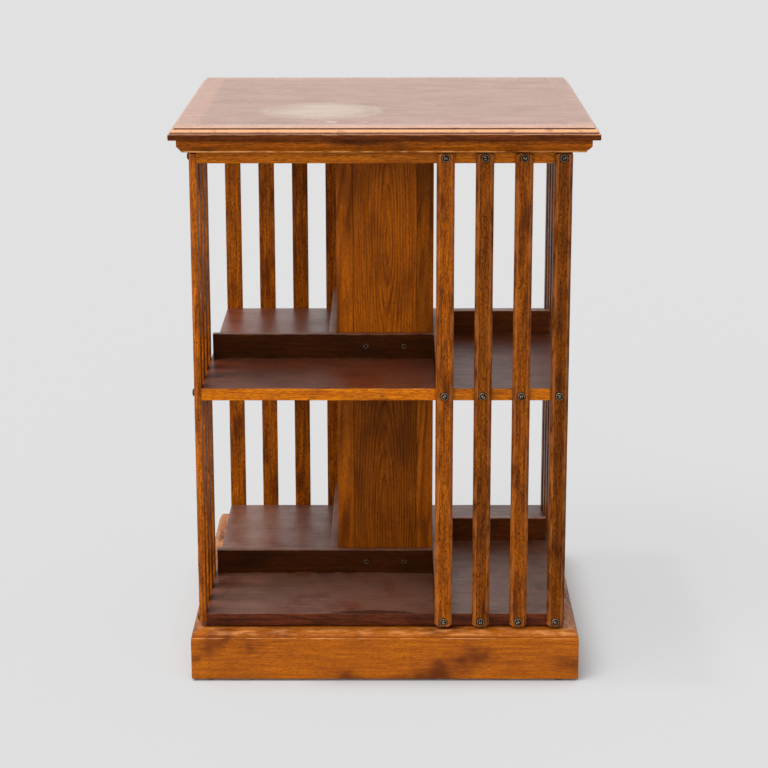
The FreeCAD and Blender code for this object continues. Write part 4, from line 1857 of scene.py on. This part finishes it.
@dataclass
class Fasteners:
    """The screws and cups that show on the faces of the case and in the stops.

    Attributes:
        slat_screw: the screws through the slats.
        stop_screw: the screws through the stops.
        cup: diameter of a screw cup.
        cup_rim: diameter of its rim.
        cup_height: how far its rim stands out.
        per_face: how many stand side by side on a face.
        levels: how many levels the slats are screwed at.
        stop_spacing: distance between the two screws of a stop.
    """

    slat_screw: SlottedScrew = field(
        default_factory=lambda: SlottedScrew(7.4 * MM, 0.9 * MM, 3.5 * MM, 28 * MM))
    # The stop screws' pale ring is rubbed metal and a painted highlight.
    stop_screw: SlottedScrew = field(
        default_factory=lambda: SlottedScrew(
            6.6 * MM, 0.5 * MM, 3.2 * MM, 24 * MM, slot_depth=0.6 * MM,
            worn=(0.2, 0.45, 0.15, -0.3, -0.3)))
    cup: float = 10.4 * MM
    cup_rim: float = 8.6 * MM
    cup_height: float = 1.7 * MM
    per_face: int = 4
    levels: int = 3
    stop_spacing: float = 48 * MM

    def cup_blank(self) -> bpy.types.Object:
        """Makes one screw cup.

        Returns:
            A cup on the front face, with its foot at the origin.
        """
        foot, rim, head = self.cup / 2, self.cup_rim / 2, self.slat_screw.head / 2
        top = self.cup_height
        # From inside the foot, out and up to the rim, and down inside under the screw's head.
        rings = [
            (head * 0.45, -0.6 * MM, 0.0),
            (foot - 0.9 * MM, 0.0, 0.0),
            (foot, 0.02 * MM, 0.0),
            (foot - 0.06 * MM, 0.3 * MM, 0.0),
            (foot - 0.42 * MM, 0.75 * MM, 0.0),
            # The bright rings round the rim are rubbed metal and a painted highlight.
            (rim + 0.06 * MM, top - 0.3 * MM, 0.4),
            (rim - 0.12 * MM, top, 1.0),
            (head + 0.25 * MM, top + 0.04 * MM, 0.9),
            (head + 0.12 * MM, top - 0.1 * MM, -0.2),
            (head + 0.04 * MM, top - 0.2 * MM, -0.2),
            (head * 0.5, top - 1.9 * MM, 0.0),
        ]
        return made_object(Turning(rings, 24, hollow=True).shell(), "cup blank", None, 0.0)

    def build(self, material: bpy.types.Material) -> None:
        """Copies and dresses the cups and screws.

        Args:
            material: their finish.
        """
        low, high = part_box("slat_front_1")
        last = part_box(f"slat_front_{self.per_face}")[0]
        bottom_low, bottom_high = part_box("bottom_shelf")
        stop_low, stop_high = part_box("book_stop_lower_front")
        places = {
            "columns": self.per_face,
            "rows": self.levels,
            "first_column": (low.x + high.x) / 2,
            "column_pitch": (last.x - low.x) / (self.per_face - 1),
            "first_row": bottom_low.z + (bottom_high.z - bottom_low.z) / 2,
            "row_pitch": (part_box("case_top")[0].z - bottom_low.z) / (self.levels - 1),
        }
        arrays = {
            "slat_cup_washers": FaceArray(
                "slat_cups", self.cup_blank(), material, distance=-low.y, **places),
            "slat_screws": FaceArray(
                "slat_screw_heads", self.slat_screw.blank(), material,
                distance=self.cup_height - low.y, spin=math.radians(37), **places),
            "book_stop_screws": FaceArray(
                "stop_screw_heads", self.stop_screw.blank(), material, columns=2, rows=len(Tier),
                first_column=-self.stop_spacing / 2, column_pitch=self.stop_spacing,
                first_row=(stop_low.z + stop_high.z) / 2,
                row_pitch=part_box("book_stop_upper_front")[0].z - stop_low.z,
                distance=-stop_low.y, spin=math.radians(53)),
        }
        for node, array in arrays.items():
            hand_over(array.build(), CASE, [node])


@dataclass
class Plinth:
    """The moulded plinth and its glides.

    Attributes:
        board: thickness of its boards.
        fillet: how far the square step stands out under the ovolo.
        quirk: height of the step under the ovolo.
        ovolo: radius of the ovolo.
        ledge: width of the flat ledge inside the ovolo that shows; it is painted pale, partly as
            wear and partly as painted light from above.
        ledge_fade: over what width the paler ledge turns to painted shade, with some dirt, further
            in under the case.
        arris: radius of the square arrises.
        glide: diameter of a glide.
        glide_inset: from the face of the plinth to the middle of a glide, from the side.
        nail: diameter of a glide's nail.
        nail_length: length of a glide's nail.
    """

    board: float = 22 * MM
    fillet: float = 1.6 * MM
    quirk: float = 1.5 * MM
    ovolo: float = 6.7 * MM
    ledge: float = 8 * MM
    ledge_fade: float = 2 * MM
    arris: float = 0.8 * MM
    glide: float = 16 * MM
    glide_inset: float = 23 * MM
    nail: float = 2.4 * MM
    nail_length: float = 16 * MM

    def profile(self) -> list[Corner]:
        """Draws the section of a plinth board.

        Returns:
            The section's corners.
        """
        low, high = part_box("plinth_right")
        inner = high.x - self.board
        nose_x, nose_z = high.x - self.fillet, high.z - self.ovolo
        crown_x = nose_x - self.ovolo
        return [
            Corner(inner, low.z),
            Corner(high.x, low.z, self.arris, 0.6),
            Corner(high.x, nose_z - self.quirk, self.arris, 0.8),
            # The quirk under the ovolo is painted dark: painted shade, with some dirt.
            Corner(nose_x, nose_z - self.quirk, worn=-0.7),
            Corner(nose_x, nose_z, worn=0.2),
            *ovolo(crown_x, nose_z, self.ovolo, self.ovolo, 0.8),
            # The ledge is painted pale: wear, and painted light from above.
            Corner(crown_x, high.z, worn=0.85),
            Corner(crown_x - self.ledge, high.z, worn=0.75),
            # Further in, under the case, the ledge is painted dark: painted shade, with some dirt.
            Corner(crown_x - self.ledge - self.ledge_fade, high.z, worn=-0.8),
            Corner(inner, high.z),
        ]

    def glide_blank(self) -> bpy.types.Object:
        """Makes one glide with its nail.

        Returns:
            A glide with its top face at the origin.
        """
        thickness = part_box("plinth_front")[0].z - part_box("plinth_glides")[0].z
        radius, nail = self.glide / 2, self.nail / 2
        # From the nail's tip down to the glide, and round its worn foot.
        rings = [
            (0.2 * MM, -self.nail_length, 0.0),
            (nail, -self.nail_length + 2 * MM, 0.0),
            (nail, 0.0, 0.0),
            (radius - 0.3 * MM, 0.0, 0.0),
            (radius, 0.3 * MM, 0.2),
            (radius, thickness - 1.2 * MM, 0.4),
            (radius - 0.5 * MM, thickness - 0.4 * MM, 0.8),
            (radius - 1.6 * MM, thickness, 1.0),
            (radius * 0.4, thickness, 1.0),
        ]
        return made_object(Turning(rings, 28).shell(Axis.Z), "glide blank", None, 0.0)

    def build(self, wood: bpy.types.Material, steel: bpy.types.Material) -> None:
        """Makes and dresses the plinth boards and the glides.

        Args:
            wood: the boards' finish.
            steel: the glides' finish.
        """
        for side in Side:
            node = f"plinth_{side.word}"
            seed = 104 + side.value
            shell = MitredMoulding(self.profile(), side, seed=seed).shell()
            obj = made_object(shell, f"{node}_board", plank_shift(seed), 0.0)
            hand_over(obj, BASE, [node], wood)
        low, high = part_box("plinth_front")
        column = high.x - self.glide_inset
        glides = FaceArray(
            "glides", self.glide_blank(), steel, sides=2, columns=2, first_column=-column,
            column_pitch=2 * column, first_row=low.z, distance=high.x - self.board / 2).build()
        hand_over(glides, BASE, ["plinth_glides"])


class HiddenWorks:
    """The pieces inside the plinth and the column, whose CAD shapes are kept."""

    METALS: ClassVar[dict[Metal, tuple[str, ...]]] = {
        CAST_IRON: ("foot_socket", "pivot_cup"),
        TURNED_BRASS: ("lower_bush",),
        TURNED_STEEL: (
            "spindle", "thrust_ball", "foot_socket_screws", "bearing_screws", "case_joint_screws"),
    }
    WOODS: ClassVar[dict[str, Axis]] = {
        "cross_rail_side_to_side": Axis.X,
        "cross_rail_front_to_back": Axis.Y,
        "plinth_corner_blocks": Axis.Z,
    }

    def dress(self) -> None:
        """Gives each kept CAD node its finish."""
        for finish, nodes in self.METALS.items():
            material = metal(finish)
            for node in nodes:
                self.assign(node, material)
        for node, along in self.WOODS.items():
            self.assign(node, hidden_timber(BARE_WOOD, along))

    def assign(self, node: str, material: bpy.types.Material) -> None:
        """Puts a material in every slot of a CAD node.

        Args:
            node: the CAD node.
            material: its finish.
        """
        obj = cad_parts[node]
        if not obj.material_slots:
            obj.data.materials.append(material)
        for slot in obj.material_slots:
            slot.material = material
        LOG.info("%s keeps its CAD shape", node)


@dataclass(frozen=True)
class Lamp:
    """A large far lamp.

    Attributes:
        name: what it is for.
        height: how high it stands, in degrees above the floor.
        bearing: how far to the right of the front it stands, in degrees, or left below 0.
        spread: how wide it looks from the object, in degrees.
        strength: its power.
        shines: whether a polish shows its reflection.
    """

    name: str
    height: float
    bearing: float
    spread: float
    strength: float
    shines: bool


@dataclass
class Studio:
    """The pale floor, the soft lights and the camera.

    Attributes:
        backdrop: colour of the background.
        floor: colour of the floor's paper.
        floor_size: width of the floor.
        hidden: how far from the middle the floor lies under the plinth and stays plain paper.
        contact: how near to the object the floor keeps its shadow.
        lamps: the key and a high light from the left, and a fill from the front.
        camera_place: where the camera stands.
        tilt: how far the camera is turned up from looking straight down, in degrees.
        pan: how far it is turned to the left, in degrees.
        roll: how far it is turned about its own axis, in degrees.
        lens: focal length on a sensor of the width below, in millimetres.
        sensor: the sensor's width, in millimetres.
        sight: how far the camera sees.
    """

    backdrop: str = "#dfdfdf"
    floor: str = "#cccccc"
    floor_size: float = 90.0
    hidden: float = 200 * MM
    contact: float = 70 * MM
    lamps: tuple[Lamp, ...] = (
        Lamp("key", 54.0, -56.0, 26.0, 1.15, True),
        Lamp("front fill", 13.0, -8.0, 60.0, 1.72, False),
        Lamp("high light", 76.0, -90.0, 5.0, 0.95, False),
    )
    camera_place: tuple[float, float, float] = (9.11 * MM, -2792.86 * MM, 1045.17 * MM)
    tilt: float = 75.373
    pan: float = 0.219
    roll: float = -0.070
    lens: float = 104.03
    sensor: float = 36.0
    sight: float = 200.0

    def build(self) -> None:
        """Sets up the floor, the lights, the world, the camera and the view."""
        self.lay_floor()
        self.hang_lamps()
        self.light_world()
        self.place_camera()
        bpy.context.scene.view_settings.view_transform = "Standard"

    def lay_floor(self) -> None:
        """Lays a plain floor that keeps the shadow and shows the backdrop's colour."""
        half = self.floor_size / 2
        mesh = bpy.data.meshes.new("floor")
        corners = [(-half, -half, 0), (half, -half, 0), (half, half, 0), (-half, half, 0)]
        mesh.from_pydata(corners, [], [(0, 1, 2, 3)])
        floor = bpy.data.objects.new("floor", mesh)
        bpy.context.scene.collection.objects.link(floor)
        material, add = new_material("matt paper floor")
        reach = {"Distance": self.contact}
        open_sky = add("ShaderNodeAmbientOcclusion", named=reach, output="AO", samples=8)
        at = TopPlaces.read(add)
        outside = add(Node.ABOVE, at.reach, self.hidden)
        # In the open the camera sees the backdrop's colour, and near the object lit paper.
        share = add(Node.TIMES, add(Node.STEPPED, open_sky, 0.45, 0.95, 0.0, 0.78), outside)
        lit = add("ShaderNodeBsdfDiffuse", linear(self.floor))
        plain = add(Node.GLOW, linear(self.backdrop), 1.0)
        # In a polish the floor is dark near the camera and pale behind the object.
        level = add(Node.STEPPED, at.y, -0.4, 0.6, 0.02, 0.8)
        dim = add(Node.GLOW, linear(self.backdrop), level)
        seen = add(Node.RAY, output="Is Camera Ray")
        glossy = add(Node.RAY, output="Is Glossy Ray")
        shown = add(Node.EITHER, add(Node.TIMES, seen, share), lit, plain)
        add("ShaderNodeOutputMaterial", add(Node.EITHER, glossy, shown, dim))
        mesh.materials.append(material)

    def hang_lamps(self) -> None:
        """Hangs the lamps."""
        for lamp in self.lamps:
            data = bpy.data.lights.new(lamp.name, "SUN")
            data.energy = lamp.strength
            data.angle = math.radians(lamp.spread)
            light = bpy.data.objects.new(lamp.name, data)
            light.visible_glossy = lamp.shines
            light.rotation_euler = (math.radians(90 - lamp.height), 0, math.radians(lamp.bearing))
            bpy.context.scene.collection.objects.link(light)

    def light_world(self) -> None:
        """Lights the room evenly, darker towards the camera, as a studio is."""
        world = bpy.data.worlds.new("studio")
        world.use_nodes = True
        world.node_tree.nodes.clear()
        add = partial(add_node, world.node_tree)
        way = add(Node.PLACE, output="Generated")
        depth = add(Node.APART, way, output="Y")
        white = (1, 1, 1, 1)
        room = add(Node.SKY, white, add(Node.STEPPED, depth, -1.0, 0.6, 0.58, 0.62))
        shine = add(Node.SKY, white, add(Node.STEPPED, depth, -0.4, 0.3, 0.02, 0.9))
        plain = add(Node.SKY, linear(self.backdrop), 1.0)
        seen = add(Node.RAY, output="Is Camera Ray")
        glossy = add(Node.RAY, output="Is Glossy Ray")
        lit = add(Node.EITHER, glossy, room, shine)
        add("ShaderNodeOutputWorld", add(Node.EITHER, seen, lit, plain))
        bpy.context.scene.world = world

    def place_camera(self) -> None:
        """Stands the camera where the photograph was taken from."""
        data = bpy.data.cameras.new("camera")
        data.sensor_fit = "HORIZONTAL"
        data.sensor_width = self.sensor
        data.lens = self.lens
        data.clip_end = self.sight
        camera = bpy.data.objects.new("camera", data)
        matrix = Matrix.Translation(self.camera_place)
        for degrees, axis in ((self.pan, "Z"), (self.tilt, "X"), (self.roll, "Z")):
            matrix = matrix @ Matrix.Rotation(math.radians(degrees), 4, axis)
        camera.matrix_world = matrix
        bpy.context.scene.collection.objects.link(camera)
        bpy.context.scene.camera = camera


def main() -> None:
    """Builds and dresses the bookcase, sub-assembly by sub-assembly."""
    logging.basicConfig(level=logging.INFO, format="%(name)s: %(message)s")
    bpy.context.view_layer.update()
    TopBoard().build(board_timber(TOP_EDGE_WOOD))
    Cornice().build(board_timber(CORNICE_WOOD))
    amber = board_timber(EDGE_WOOD)
    shelf = board_timber(SHELF_WOOD)
    dusty = board_timber(DUSTY_WOOD)
    CaseBoards().build({
        "case_top": (shelf, amber),
        "middle_shelf": (shelf, amber),
        "bottom_shelf": (dusty, board_timber(DARK_EDGE_WOOD)),
    })
    Slats().build(board_timber(SLAT_WOOD))
    Column().build(board_timber(COLUMN_WOOD))
    BookStops().build(board_timber(STOP_WOOD), dusty)
    Fasteners().build(metal(DARK_BRONZE))
    Plinth().build(board_timber(PLINTH_WOOD), metal(DARK_GLIDE))
    HiddenWorks().dress()
    Studio().build()


if __name__ == "__main__":
    main()
